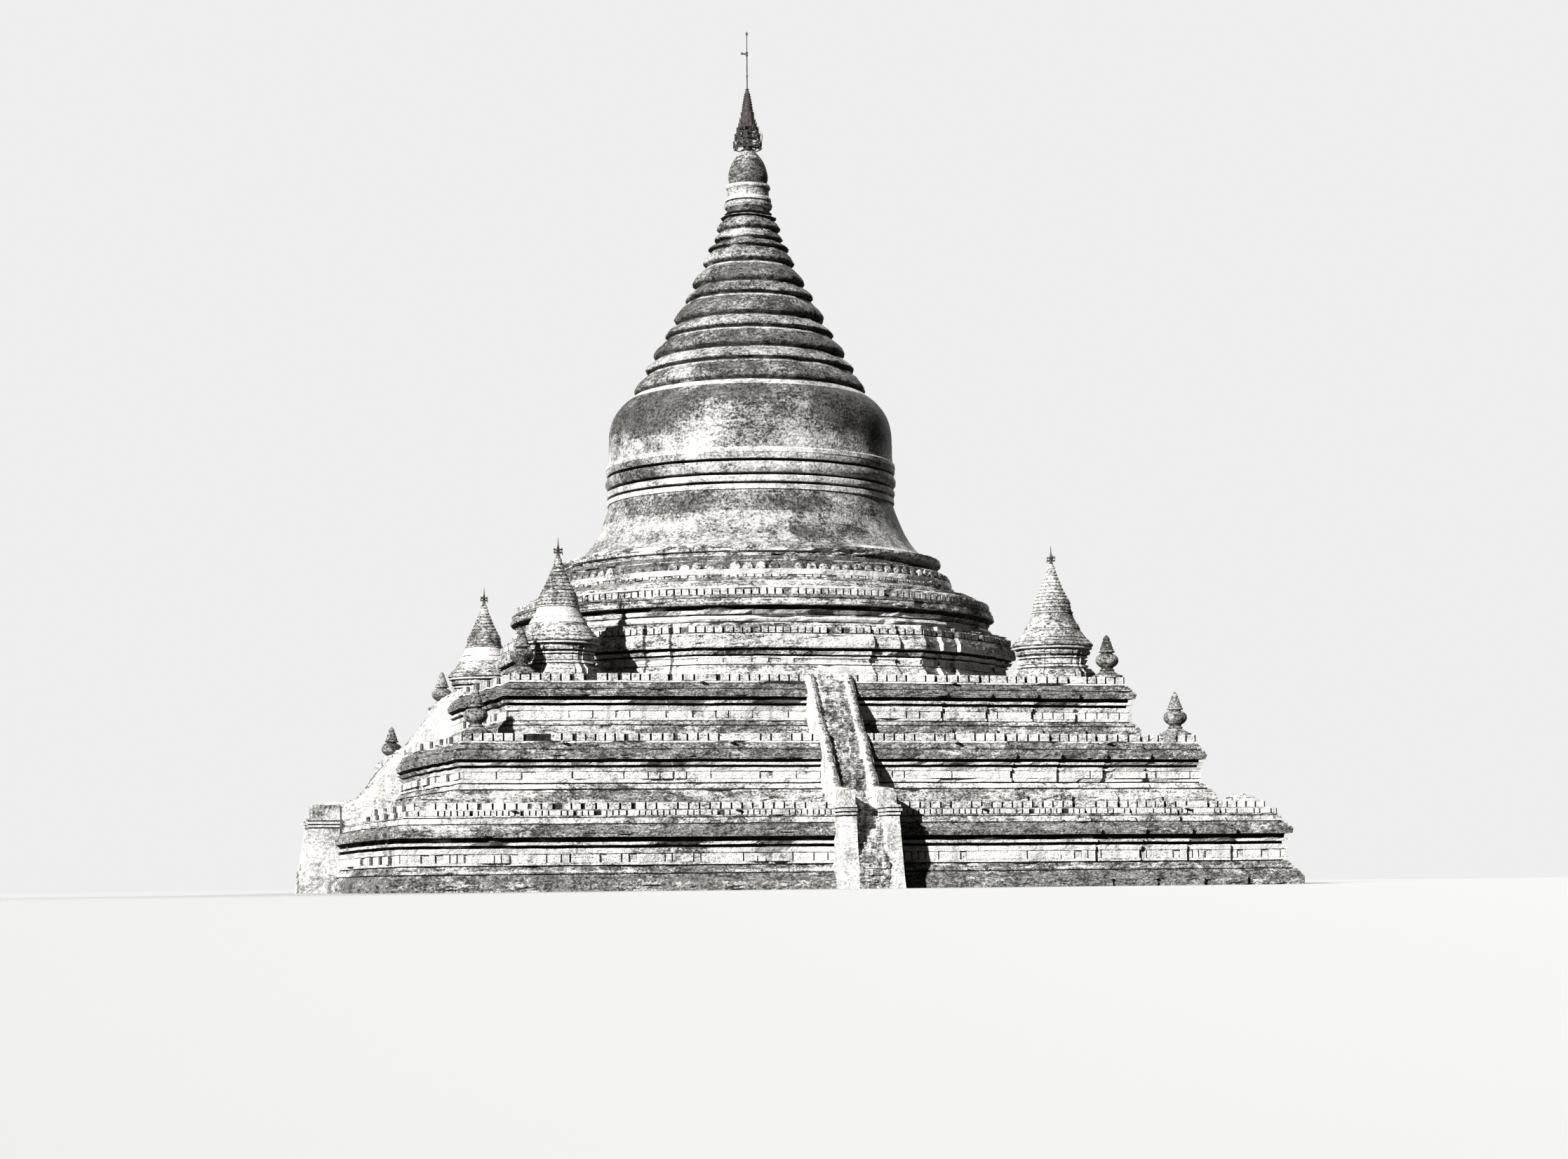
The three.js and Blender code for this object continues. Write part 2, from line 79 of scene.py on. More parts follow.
# Studio light: a sun from the left and above, a weak broad lamp behind on the right, and a faint pale sky.
def far_lamp(name, bearing, height, energy, spread):
    """A lamp so far off that its light is even; bearings run from the front towards the left, in degrees."""
    bearing, height = math.radians(bearing), math.radians(height)
    level = math.cos(height)
    to_lamp = Vector((-math.sin(bearing) * level, -math.cos(bearing) * level, math.sin(height)))
    lamp = bpy.data.lights.new(name, "SUN")
    lamp.energy = energy
    lamp.angle = math.radians(spread)
    holder = set_out(name, lamp)
    holder.rotation_mode = "QUATERNION"
    holder.rotation_quaternion = to_lamp.to_track_quat("Z", "Y")


far_lamp("sun", bearing=48, height=25, energy=9.8, spread=0.9)
far_lamp("back_lamp", bearing=214, height=26, energy=3.0, spread=20)

sky = bpy.data.worlds.new("sky")
sky.use_nodes = True
sky_nodes = sky.node_tree
backdrop_tone = 0.86
fill_tone = 0.031
view_path = sky_nodes.nodes.new("ShaderNodeLightPath")
tone = sky_nodes.nodes.new("ShaderNodeMapRange")
tone.inputs["To Min"].default_value = fill_tone
tone.inputs["To Max"].default_value = backdrop_tone
sky_nodes.links.new(view_path.outputs["Is Camera Ray"], tone.inputs["Value"])
sky_nodes.links.new(tone.outputs["Result"], sky_nodes.nodes["Background"].inputs["Strength"])
sky_nodes.nodes["Background"].inputs["Color"].default_value = (1, 1, 1, 1)
bpy.context.scene.world = sky
bpy.context.scene.view_settings.view_transform = "Standard"

# The camera stands low in front and to the left, as in the photograph.
photo_width = 2235
focal_pixels = 4329.16
yaw, pitch, roll = 0.241425, 0.1, -0.009928
look = Vector((math.sin(yaw) * math.cos(pitch), math.cos(yaw) * math.cos(pitch), math.sin(pitch)))
level_right = Vector((math.cos(yaw), -math.sin(yaw), 0))
level_up = level_right.cross(look)
camera_right = math.cos(roll) * level_right + math.sin(roll) * level_up
camera_up = -math.sin(roll) * level_right + math.cos(roll) * level_up
camera_spot = Vector((-4.711135, -20.059391, 0.03))
lens = bpy.data.cameras.new("camera")
lens.sensor_width = 36
lens.lens = focal_pixels * lens.sensor_width / photo_width
lens.clip_end = 600
placing = Matrix((camera_right, camera_up, -look)).transposed().to_4x4()
placing.translation = camera_spot * module
camera = set_out("camera", lens)
camera.matrix_world = placing
bpy.context.scene.camera = camera


# Terraces: three square stages of fired brick laid in lime mortar, each side stepping forward to the middle.
# Their mouldings were cut in brick and plastered; the plaster now holds only on the fillets and plaque bands.
COURSE_HEIGHT = 0.03
BRICK_LENGTH = 0.18
MORTAR_JOINT = 0.003
COURSE = COURSE_HEIGHT / module
BRICK = BRICK_LENGTH / module
FACET = 0.11 / module
TERRACE_BREAKS = (0.38, 0.67, 0.975, 1.27)
TERRACE_STEP = 0.022
QUARTER = math.pi / 2

# Finish of a stretch of wall: how much limewash is left on it, and how black it is with grime and painted
# shade.
FINISHES = {
    "brick": (0.14, 0.0),
    "grey": (0.5, 0.0),
    "faded": (0.78, 0.0),
    "pale": (0.72, 0.0),
    "white": (1.08, 0.0),
    "panel": (0.86, 0.06),
    # Painted shade: black lines the grooves and undercuts under mouldings, and dark does so in shallower
    # grooves; on tops and bases dark is grime.
    "dark": (0.06, 0.55),
    "black": (0.0, 1.0),
}
LAID = ("brick", "grey", "faded")


def put(tree, kind, inputs, **settings):
    """One shader node; an input is a number, a colour or the output of another node."""
    node = tree.nodes.new(kind)
    for name, value in settings.items():
        setattr(node, name, value)
    for key, value in inputs.items():
        if isinstance(value, bpy.types.NodeSocket):
            tree.links.new(value, node.inputs[key])
        else:
            node.inputs[key].default_value = value
    return node.outputs


def reckon(tree, operation, first, second=0.0):
    return put(tree, "ShaderNodeMath", {0: first, 1: second}, operation=operation)[0]


def blended(tree, share, first, second, way="MIX"):
    inputs = {0: share, 6: first, 7: second}
    return put(tree, "ShaderNodeMix", inputs, data_type="RGBA", blend_type=way)[2]


def grain(tree, place, stretch, scale, detail=4.0, rough=0.6):
    """Noise from 0 to 1 over the piece, stretched along the axes."""
    mapped = put(tree, "ShaderNodeMapping", {"Vector": place, "Scale": stretch})[0]
    inputs = {"Vector": mapped, "Scale": scale, "Detail": detail, "Roughness": rough}
    return put(tree, "ShaderNodeTexNoise", inputs)[0]


def stretch_to(tree, value, low, high, to_low=0.0, to_high=1.0):
    inputs = {"Value": value, "From Min": low, "From Max": high, "To Min": to_low, "To Max": to_high}
    return put(tree, "ShaderNodeMapRange", inputs)[0]


def masonry(name, dark, light, wash, rough_depth, patch, streaks, laid, clear):
    """Brick under what is left of its limewash; laid is how far courses and single bricks show through.

    The limewash goes from none to all over the range called clear: a narrow one gives sharp-edged patches."""
    material, tree, shader = new_material(name, 0.95)
    material["slot"] = name
    place = put(tree, "ShaderNodeTexCoord", {})["Object"]
    limed = put(tree, "ShaderNodeAttribute", {}, attribute_name="lime")["Fac"]
    grime_and_shade = put(tree, "ShaderNodeAttribute", {}, attribute_name="soot_and_shade")["Fac"]
    flattened = (1, 1, 1 + 0.5 * laid)
    blotches = grain(tree, place, (1, 1, 1.3), patch, 5.0, 0.65)
    mottle = grain(tree, place, flattened, 2.4, 6.0, 0.72)
    dashes = grain(tree, place, (1, 1, 2.6 + 0.2 * laid), 6.5, 3.0, 0.7)
    specks = grain(tree, place, flattened, 19.0, 3.0, 0.75)
    runs = grain(tree, place, (4, 4, 0.4), 1.2)
    wall = {
        "Vector": put(tree, "ShaderNodeUVMap", {}, uv_map="courses")[0],
        "Color1": (0.7, 0.7, 0.7, 1),
        "Color2": (1.25, 1.25, 1.25, 1),
        "Mortar": (0.72, 0.72, 0.72, 1),
        "Scale": 1.0,
        "Mortar Size": MORTAR_JOINT,
        "Mortar Smooth": 0.5,
        "Brick Width": BRICK_LENGTH,
        "Row Height": COURSE_HEIGHT,
    }
    bricks = put(tree, "ShaderNodeTexBrick", wall)
    grains = reckon(tree, "ADD", reckon(tree, "ADD", mottle, dashes), reckon(tree, "MULTIPLY", specks, 1.6))
    uneven_face = reckon(tree, "SUBTRACT", grains, 1.8)
    bare = blended(tree, stretch_to(tree, uneven_face, -0.24, 0.26), dark, light)
    bare = blended(tree, 0.8 * laid, bare, bricks[0], "MULTIPLY")
    patches = reckon(tree, "MULTIPLY", reckon(tree, "SUBTRACT", blotches, 0.5), 1.8)
    spots = reckon(tree, "MULTIPLY", uneven_face, 1.2)
    left = reckon(tree, "ADD", reckon(tree, "ADD", limed, patches), spots)
    wash_tone = blended(tree, stretch_to(tree, uneven_face, -0.3, 0.15, 0.5, 0.0), wash, light)
    colour = blended(tree, stretch_to(tree, left, *clear), bare, wash_tone)
    colour = blended(tree, stretch_to(tree, runs, 0.52, 0.72, 0.0, 0.5 * streaks), colour, dark)
    stains = stretch_to(tree, blotches, 0.24, 0.4, 0.35, 0.0)
    # Darkens towards black by the soot_and_shade attribute: grime, and painted shade in grooves, undercuts
    # and the gaps between blocks.
    black = reckon(tree, "MULTIPLY", grime_and_shade, stretch_to(tree, mottle, 0.2, 0.6, 1.0, 0.86))
    colour = blended(tree, reckon(tree, "MAXIMUM", stains, black), colour, (0.012, 0.0115, 0.011, 1))
    tree.links.new(colour, shader["Base Color"])
    shader["Specular IOR Level"].default_value = 0.12
    joint = {"Height": bricks[1], "Distance": 0.005 * laid, "Strength": 1.0}
    joints = put(tree, "ShaderNodeBump", joint, invert=True)[0]
    worn_face = reckon(tree, "ADD", grains, reckon(tree, "MULTIPLY", dashes, 0.5))
    relief = {"Height": worn_face, "Distance": rough_depth, "Strength": 1.0, "Normal": joints}
    tree.links.new(put(tree, "ShaderNodeBump", relief)[0], shader["Normal"])
    return material


def stepped_side(half, front, breaks, step, slot=None):
    """One side of a stepped plan, from left to right, facing the front; a slot leaves room for the stair."""
    left = [(-half, -front)]
    for i, distance in enumerate(breaks):
        left.append((distance - half, -front - step * i))
        left.append((distance - half, -front - step * (i + 1)))
    if slot:
        half_slot, slot_front = slot
        left += [(-half_slot, -front - step * len(breaks)), (-half_slot, -slot_front)]
    return left + [(-x, y) for x, y in reversed(left[1:])]


def turned_about(points, angle):
    c, s = math.cos(angle), math.sin(angle)
    return [(x * c - y * s, x * s + y * c) for x, y in points]


def share_out(side, turn, counts=None):
    """Splits each edge of a side into equal parts shorter than a brick; the next side follows after a turn.

    Counts repeats an earlier split."""
    corners = side + turned_about(side[:1], turn)
    edges = list(zip(corners, corners[1:]))
    counts = counts or [max(1, round(math.dist(a, b) / FACET)) for a, b in edges]
    points = [
        (a[0] + (b[0] - a[0]) * i / count, a[1] + (b[1] - a[1]) * i / count)
        for (a, b), count in zip(edges, counts)
        for i in range(count)
    ]
    return points, counts


# The share of bricks lost, then how far they are gone and the most of all, as shares of a wall's wear.
LOST_SHARE = 0.05
LOST_BRICK = 1.6
MOST_WORN = 2.8
# How deep a fillet breaks away and how deep a groove fills up, in modules.
BITE = 0.02
CLOG = 0.05


def uneven(spot, *layers):
    """Noise in layers, each given as how strong and how fine it is."""
    return sum(strength * noise.noise(spot * fineness) for strength, fineness in layers)


def eaten(x, y, z, depth, course=None):
    """How far the weather has eaten into a wall at a point; in brickwork some bricks more than others."""
    rough = 0.5 + uneven(Vector((x, y, z)), (0.55, 2.1), (0.6, 13), (0.5, 41))
    if course is not None:
        brick = noise.cell(Vector((x / BRICK, y / BRICK, course * 1.7)))
        rough += 1.5 * max(0.0, brick - 0.62) + (LOST_BRICK if brick > 1 - LOST_SHARE else 0)
    return depth * min(MOST_WORN, max(0.0, rough))


def bitten(x, y, z, often):
    """Where a fillet has broken away along its length."""
    run = noise.noise(Vector((x * 3.1, y * 3.1, round(z, 1) * 7)))
    return BITE * min(1.0, max(0.0, (run - 0.42 + often) * 9))


def clogged(x, y, z, often):
    """How far mortar and rubble fill a groove up at a point along it."""
    return CLOG * max(0.0, noise.noise(Vector((x * 6, y * 6, z * 25))) - 0.4 + 0.8 * often)


def rows_of(outline):
    """Lays an outline up in rings: brick stretches go up course by course, each set back on the one below."""
    rows = []
    for (low, bottom, finish), (high, top, _) in zip(outline, outline[1:]):
        rise = top - bottom
        courses = max(1, round(rise / COURSE)) if finish in LAID else 1
        for course in range(courses):
            set_back = low + (high - low) * course / courses
            number = len(rows)
            rows.append((set_back, bottom + rise * course / courses, finish, number))
            if courses > 1 and abs(high - low) / courses > COURSE * 0.15:
                rows.append((set_back, bottom + rise * (course + 1) / courses, finish, number))
    rows.append((*outline[-1], len(rows)))
    return rows


def finish_piece(mesh, material, nodes=(), body="stupa"):
    """Stands a mesh in the scene as a piece of its name, in place of the plain nodes that it replaces."""
    piece = set_out(mesh.name, mesh)
    mesh.materials.append(material)
    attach(piece, body)
    if nodes:
        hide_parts(*nodes)
    return piece


WELD = 0.00002


def mesh_of(name, points, faces, marks=(), courses=(), welded=False, smooth=None):
    """A mesh from points in modules; marks are each face's limewash and its grime and painted shade, courses
    where its bricks lie.

    In a welded mesh points that lie on each other are joined, so that no face is left without area.
    Faces that meet at less than the angle called smooth, in degrees, are shaded as one."""
    mesh = bpy.data.meshes.new(name)
    mesh.from_pydata([Vector(point) * module for point in points], [], faces)
    if courses:
        mesh.uv_layers.new(name="courses").data.foreach_set("uv", courses)
    if marks:
        for kind, values in zip(("lime", "soot_and_shade"), zip(*marks)):
            mesh.attributes.new(kind, "FLOAT", "FACE").data.foreach_set("value", values)
    if welded:
        shape = bmesh.new()
        shape.from_mesh(mesh)
        bmesh.ops.remove_doubles(shape, verts=shape.verts, dist=WELD)
        shape.to_mesh(mesh)
        shape.free()
    if smooth:
        mesh.shade_smooth()
        mesh.set_sharp_from_angle(angle=math.radians(smooth))
    mesh.validate()
    return mesh


def sheathed(rows, columns, ring=False):
    """Faces round a body laid out in closed rows of points; a ring's last row joins its first row."""
    faces = []
    for row in range(rows if ring else rows - 1):
        low, high = row * columns, (row + 1) % rows * columns
        for here in range(columns):
            beside = (here + 1) % columns
            faces.append((low + here, low + beside, high + beside, high + here))
    if not ring:
        faces.append(tuple(reversed(range(columns))))
        faces.append(tuple(range((rows - 1) * columns, rows * columns)))
    return faces


def joined(bodies):
    """The points and faces of many bodies as one."""
    points, faces = [], []
    for more_points, more_faces in bodies:
        faces += [tuple(len(points) + corner for corner in face) for face in more_faces]
        points += more_points
    return points, faces


def skin(name, rings, finishes, lid_finish, smooth=None, stains=()):
    """A closed skin through level rings of points in modules, lowest first, with a base and a lid."""
    middle = rings[len(rings) // 2]
    run = [0.0]
    for here, beside in zip(middle, middle[1:] + middle[:1]):
        run.append(run[-1] + math.dist(here[:2], beside[:2]) * module)
    courses = []
    for low_ring, high_ring in zip(rings, rings[1:]):
        low, high = low_ring[0][2] * module, high_ring[0][2] * module
        for start, end in zip(run, run[1:]):
            courses += [start, low, end, low, end, high, start, high]
    for x, y, _ in rings[0][::-1] + rings[-1]:
        courses += [x * module, y * module]
    points = [point for ring in rings for point in ring]
    marks = marked(name, rings, finishes, lid_finish, FLOATED if smooth else COURSED, stains)
    return mesh_of(name, points, sheathed(len(rings), len(middle)), marks, courses, True, smooth)


# How fast the finish changes along a wall and up it, and by how much: first coursed brick, then stucco.
COURSED = (4.3, 31, 0.45, 0.16)
FLOATED = (3.0, 3, 0.3, 0.0)
SLOW_CHANGE = 0.3


def stain_and_shade_at(stains, x, y, z):
    """How dark the stains and patches of painted shade are at a point; each has a bearing from the front
    towards the left, a height, half its width in degrees, half its height and its strength."""
    darkest = 0.0
    bearing = math.degrees(math.atan2(-x, -y))
    for middle, height, half_width, half_height, strength in stains:
        beside = ((bearing - middle + 180) % 360 - 180) / half_width + uneven(Vector((x, y, z)), (0.5, 4))
        above = (z - height) / half_height + uneven(Vector((x, y, z)), (0.5, 7))
        darkest = max(darkest, strength * max(0.0, 1 - beside * beside - above * above))
    return darkest


def marked(name, rings, finishes, lid_finish, change, stains):
    """Each face's limewash, and its grime and painted shade, which change from course to course and along
    each one.
    """
    chance = random.Random(name)
    along, upwards, depth, by_course = change
    marks = []
    for ring, finish in zip(rings[:-1], finishes):
        washed, black = FINISHES[finish]
        washed += chance.uniform(-by_course, by_course) if finish in LAID else 0
        for x, y, z in ring:
            here = noise.noise(Vector((x * along, y * along, z * upwards)))
            near = noise.noise(Vector((x * along * 2.6, y * along * 2.6, z * upwards * 1.4 + 9)))
            slow = noise.noise(Vector((x * 1.1 + 74, y * 1.1, z * 1.6)))
            stain_and_shade = stain_and_shade_at(stains, x, y, z)
            lime = washed + depth * (here + 0.7 * near) + SLOW_CHANGE * slow - stain_and_shade
            patchy = 1 + 2.5 * here if black < 0.5 else 1 - 1.5 * max(0.0, near - 0.12)
            marks.append((lime, black * patchy + 0.5 * max(0.0, here - 0.3) + 0.35 * stain_and_shade))
    return marks + [FINISHES["dark"], FINISHES[lid_finish]]


# Blocks have a narrow bevel. The sides towards their neighbours and the back are painted black as the shade
# in the gaps between blocks; they are these faces, counted round a block from its left side.
ARRIS = 0.0016
SIDE_PAINTED_SHADE = 0.9
PAINTED_SHADE_SIDES = (0, 4, 5)


def block_row(
    name, places, width, low, high, depth, finish, ragged=0.0015, gone=0.0, worn_top=0.1, bridged=(0, 0)
):
    """A piece of like blocks; a place is the middle of an outer face, the bearing it faces and a width share.

    Their sides are painted black as shade in the gaps; bridged is the share plastered over to the next block,
    and how far."""
    chance = random.Random(name)
    full_wash, black = FINISHES[finish]
    blocks, marks, courses = [], [], []
    for x, y, bearing, share in places:
        if chance.random() < gone:
            continue
        across = Vector((math.cos(bearing), math.sin(bearing), 0))
        inward = Vector((-math.sin(bearing), math.cos(bearing), 0))
        half = width * share / 2
        right = half + (bridged[1] if chance.random() < bridged[0] else 0)
        plan = [(-half, depth), (-half, ARRIS), (ARRIS - half, 0)]
        plan += [(right - ARRIS, 0), (right, ARRIS), (right, depth)]
        tall = (high - low) * (1 - chance.random() ** 3 * worn_top)
        slump = chance.uniform(0, ragged)
        points = []
        for height, drawn_in in ((0, 0.0), (tall - ARRIS, 0.0), (tall, ARRIS)):
            for sideways, back in plan:
                spot = Vector((x, y, low + height)) + across * sideways + inward * (back + drawn_in + slump)
                jitter = Vector([chance.uniform(-ragged, ragged) * 0.5 for _ in range(3)])
                jitter.z = min(0.0, jitter.z) if height else 0.0
                points.append(spot if back == depth else spot + jitter)
        faces = sheathed(3, len(plan))
        blocks.append((points, faces))
        washed = full_wash + chance.uniform(-0.2, 0.12)
        marks += [(washed, SIDE_PAINTED_SHADE if i in PAINTED_SHADE_SIDES else black) for i in range(len(plan))] * 2
        # The underside is painted black as shade; the top gets less limewash than the sides.
        marks += [(0, 1), (washed - 0.3, black)]
        shift = chance.uniform(0, 5)
        for face in faces:
            for corner in face:
                courses += [points[corner].dot(across) * module + shift, points[corner].z * module]
    return finish_piece(mesh_of(name, *joined(blocks), marks, courses), weathered_brick)


def places_along(side, turn, spacing, margin, keep=lambda x: True):
    """Even places along the long straight edges of a side, as (x, y, bearing, width share)."""
    corners = side + turned_about(side[:1], turn)
    places = []
    for a, b in zip(corners, corners[1:]):
        length = math.dist(a, b)
        if length < spacing * 1.2:
            continue
        count = max(1, round((length - margin) / spacing))
        bearing = math.atan2(b[1] - a[1], b[0] - a[0])
        for i in range(count):
            share = (margin / 2 + (length - margin) * (i + 0.5) / count) / length
            x, y = a[0] + (b[0] - a[0]) * share, a[1] + (b[1] - a[1]) * share
            if keep(x):
                places.append((x, y, bearing, (length - margin) / count / spacing))
    return places


def to_all_sides(places):
    turned = []
    for quarter in range(4):
        for x, y, bearing, share in places:
            ((x2, y2),) = turned_about([(x, y)], quarter * QUARTER)
            turned.append((x2, y2, bearing + quarter * QUARTER, share))
    return turned


weathered_brick = masonry(
    "weathered_brick",
    dark=(0.036, 0.034, 0.032, 1),
    light=(0.38, 0.367, 0.347, 1),
    wash=(0.8, 0.79, 0.76, 1),
    rough_depth=0.024,
    patch=0.5,
    streaks=1.0,
    laid=1.0,
    clear=(0.3, 0.92),
)

STAIR_HEAD = 2.03
STAIR_SLOPE = 0.811
PARAPET_OUTER = 0.147
SLOT_BEHIND_NOSINGS = 0.2
SLOT_LAP = 0.004


def nosing(height):
    """Distance of the stair's nosing line in front of the axis."""
    return STAIR_HEAD + (UPPER_TOP - height) * STAIR_SLOPE


def moulding(*stretches):
    """An outline from below, as (distance out, height, finish); a stretch gives a finish and its points."""
    return [(out, height, finish) for finish, *points in stretches for out, height in points]


# In these outlines the black stretches are painted shade in the grooves under each moulding.
LOWER_OUTLINE = moulding(
    ("brick", (2.79, 0), (2.79, 0.045)),
    ("black", (2.75, 0.095), (2.733, 0.096)),
    ("grey", (2.733, 0.102), (2.742, 0.103)),
    ("black", (2.71, 0.143), (2.69, 0.144)),
    ("white", (2.69, 0.15), (2.71, 0.151), (2.71, 0.165)),
    ("panel", (2.699, 0.1655)),
    ("black", (2.699, 0.211)),
    ("white", (2.699, 0.216), (2.712, 0.217)),
    ("black", (2.712, 0.246), (2.686, 0.247)),
    ("white", (2.686, 0.264), (2.722, 0.265)),
    ("black", (2.724, 0.281), (2.696, 0.282), (2.7, 0.308)),
    ("brick", (2.74, 0.311), (2.744, 0.335)),
    ("black", (2.702, 0.383), (2.688, 0.384)),
    ("pale", (2.688, 0.389), (2.694, 0.39)),
    ("black", (2.684, 0.421), (2.668, 0.422)),
    ("grey", (2.668, 0.427), (2.672, 0.428)),
    ("dark", (2.672, 0.435)),
    ("black", (2.654, 0.436)),
    ("pale", (2.654, 0.466), (2.63, 0.47)),
    ("black", (2.6, 0.473)),
    ("brick", (2.6, 0.509)),
)
MIDDLE_OUTLINE = moulding(
    ("grey", (2.395, 0.509), (2.395, 0.545)),
    ("black", (2.364, 0.591), (2.346, 0.592)),
    ("pale", (2.346, 0.6), (2.354, 0.601)),
    ("black", (2.326, 0.629), (2.307, 0.63)),
    ("white", (2.307, 0.637), (2.32, 0.638), (2.32, 0.66)),
    ("panel", (2.309, 0.6605)),
    ("black", (2.309, 0.698)),
    ("white", (2.309, 0.704), (2.322, 0.705)),
    ("black", (2.322, 0.725), (2.298, 0.726)),
    ("white", (2.298, 0.741), (2.33, 0.742)),
    ("black", (2.332, 0.757), (2.306, 0.758), (2.308, 0.775)),
    ("brick", (2.346, 0.777), (2.351, 0.8)),
    ("black", (2.333, 0.832), (2.32, 0.833)),
    ("brick", (2.32, 0.838), (2.325, 0.839)),
    ("white", (2.302, 0.875), (2.304, 0.876)),
    ("dark", (2.304, 0.885)),
    ("black", (2.284, 0.886)),
    ("brick", (2.284, 0.928)),
)
UPPER_OUTLINE = moulding(
    ("grey", (2.037, 0.928), (2.037, 0.967)),
    ("black", (2.021, 0.99), (2.006, 0.991)),
    ("grey", (2.006, 0.997), (2.014, 0.998)),
    ("black", (1.993, 1.019), (1.974, 1.02)),
    ("white", (1.974, 1.025), (1.986, 1.026), (1.986, 1.04)),
    ("panel", (1.976, 1.0405)),
    ("black", (1.976, 1.079)),
    ("white", (1.976, 1.084), (1.988, 1.085)),
    ("black", (1.988, 1.113), (1.964, 1.114)),
    ("white", (1.964, 1.13), (1.996, 1.131)),
    ("black", (1.998, 1.146), (1.972, 1.147), (1.974, 1.168)),
    ("brick", (2.012, 1.171), (2.017, 1.19)),
    ("black", (2.005, 1.213), (1.992, 1.214)),
    ("brick", (1.992, 1.219), (1.997, 1.22)),
    ("black", (1.968, 1.25), (1.958, 1.251)),
    ("white", (1.958, 1.256), (1.964, 1.257)),
    ("dark", (1.964, 1.267)),
    ("black", (1.945, 1.268)),
    ("brick", (1.945, 1.309)),
)


def terrace_ring(half, height, counts=None):
    """One level of a terrace's side, with a slot in its middle where the stair's own pieces stand."""
    widest = half + TERRACE_STEP * len(TERRACE_BREAKS) - SLOT_LAP
    slot = (PARAPET_OUTER - SLOT_LAP, min(widest, nosing(height) - SLOT_BEHIND_NOSINGS))
    return share_out(stepped_side(half, half, TERRACE_BREAKS, TERRACE_STEP, slot), QUARTER, counts)


FILLET_WEAR = 0.45
GROOVE_WEAR = 0.5
SAG = 0.002


def stage_of_building(name, outline, ring_at, sides, nodes, wear=0.007, often=0.22, centre=(0, 0)):
    """A mass of brickwork that follows a plan of several like sides, eaten by the weather."""
    rows = rows_of(outline)
    middle_row = rows[len(rows) // 2]
    counts = ring_at(middle_row[0], middle_row[1])[1]
    rings = []
    for offset, height, finish, course in rows:
        side = ring_at(offset, height, counts)[0]
        inside = outline[0][1] < height < outline[-1][1]
        ring = []
        for turn in range(sides):
            for x, y in turned_about(side, 2 * math.pi * turn / sides):
                left, front = x + centre[0], y + centre[1]
                loss = eaten(left, front, height, wear, course)
                if finish in ("white", "pale"):
                    loss = loss * FILLET_WEAR + bitten(left, front, height, often)
                if finish == "black":
                    loss = loss * GROOVE_WEAR - clogged(left, front, height, often)
                shrink = 1 - loss / math.hypot(x, y)
                sag = SAG * noise.noise(Vector((left * 1.7, front * 1.7, 4.0)))
                sag += SAG * noise.noise(Vector((left * 9, front * 9, height * 20)))
                level = height + (sag if inside else 0)
                ring.append((x * shrink + centre[0], y * shrink + centre[1], level))
        rings.append(ring)
    finish_piece(skin(name, rings, [row[2] for row in rows], "dark"), weathered_brick, nodes)


for name, outline in (("lower", LOWER_OUTLINE), ("middle", MIDDLE_OUTLINE), ("upper", UPPER_OUTLINE)):
    stage_of_building(name + "_terrace_brickwork", outline, terrace_ring, 4, [name + "_terrace"])


# Rims of the terraces: upright tiles of brick set a finger apart, and on the lowest one small blocks below.
# They were laid in lime mortar on the terrace's edge and limewashed; a few are lost or plastered together.
FINISHES["rim"] = (0.88, 0.0)
merlons = {"spacing": 0.0635, "gap": 0.0115, "depth": 0.018}
merlons.update(finish="rim", plastered=0.12, gone=0.012)
rim_blocks = {"spacing": 0.036, "gap": 0.009, "depth": 0.018}
rim_blocks.update(finish="white", plastered=0.2, gone=0.04)


def clear_of_stair(x):
    return abs(x) > PARAPET_OUTER - 0.01


def terrace_row(name, half, low, high, spacing, gap, depth, finish, plastered, **looks):
    """Like blocks along the sides of a terrace, up to the stairs, some plastered over to the next one."""
    side = stepped_side(half, half, TERRACE_BREAKS, TERRACE_STEP)
    places = to_all_sides(places_along(side, QUARTER, spacing, gap, clear_of_stair))
    block_row(name, places, spacing - gap, low, high, depth, finish, bridged=(plastered, gap), **looks)


terrace_row("lower_merlons", 2.616, 0.474, 0.513, **merlons)
terrace_row("middle_merlons", 2.298, 0.887, 0.932, **merlons)
terrace_row("upper_merlons", 1.96, 1.269, 1.313, **merlons)
terrace_row("lower_rim_blocks", 2.67, 0.437, 0.466, **rim_blocks)


# Plaque bands: square plaques set flush between two fillets, a finger apart, all white with limewash.
# Many joints have been plastered over, and where a plaque is lost its grey bed shows.
FINISHES["plaque"] = (1.15, 0.0)
plaques = {"gap": 0.008, "depth": 0.013, "finish": "plaque", "plastered": 0.7}
plaques.update(ragged=0.001, gone=0.07, worn_top=0.04)
terrace_row("lower_plaques", 2.71, 0.166, 0.213, 0.042, **plaques)
terrace_row("middle_plaques", 2.32, 0.661, 0.7015, 0.075, **plaques)
terrace_row("upper_plaques", 1.986, 1.041, 1.082, 0.075, **plaques)


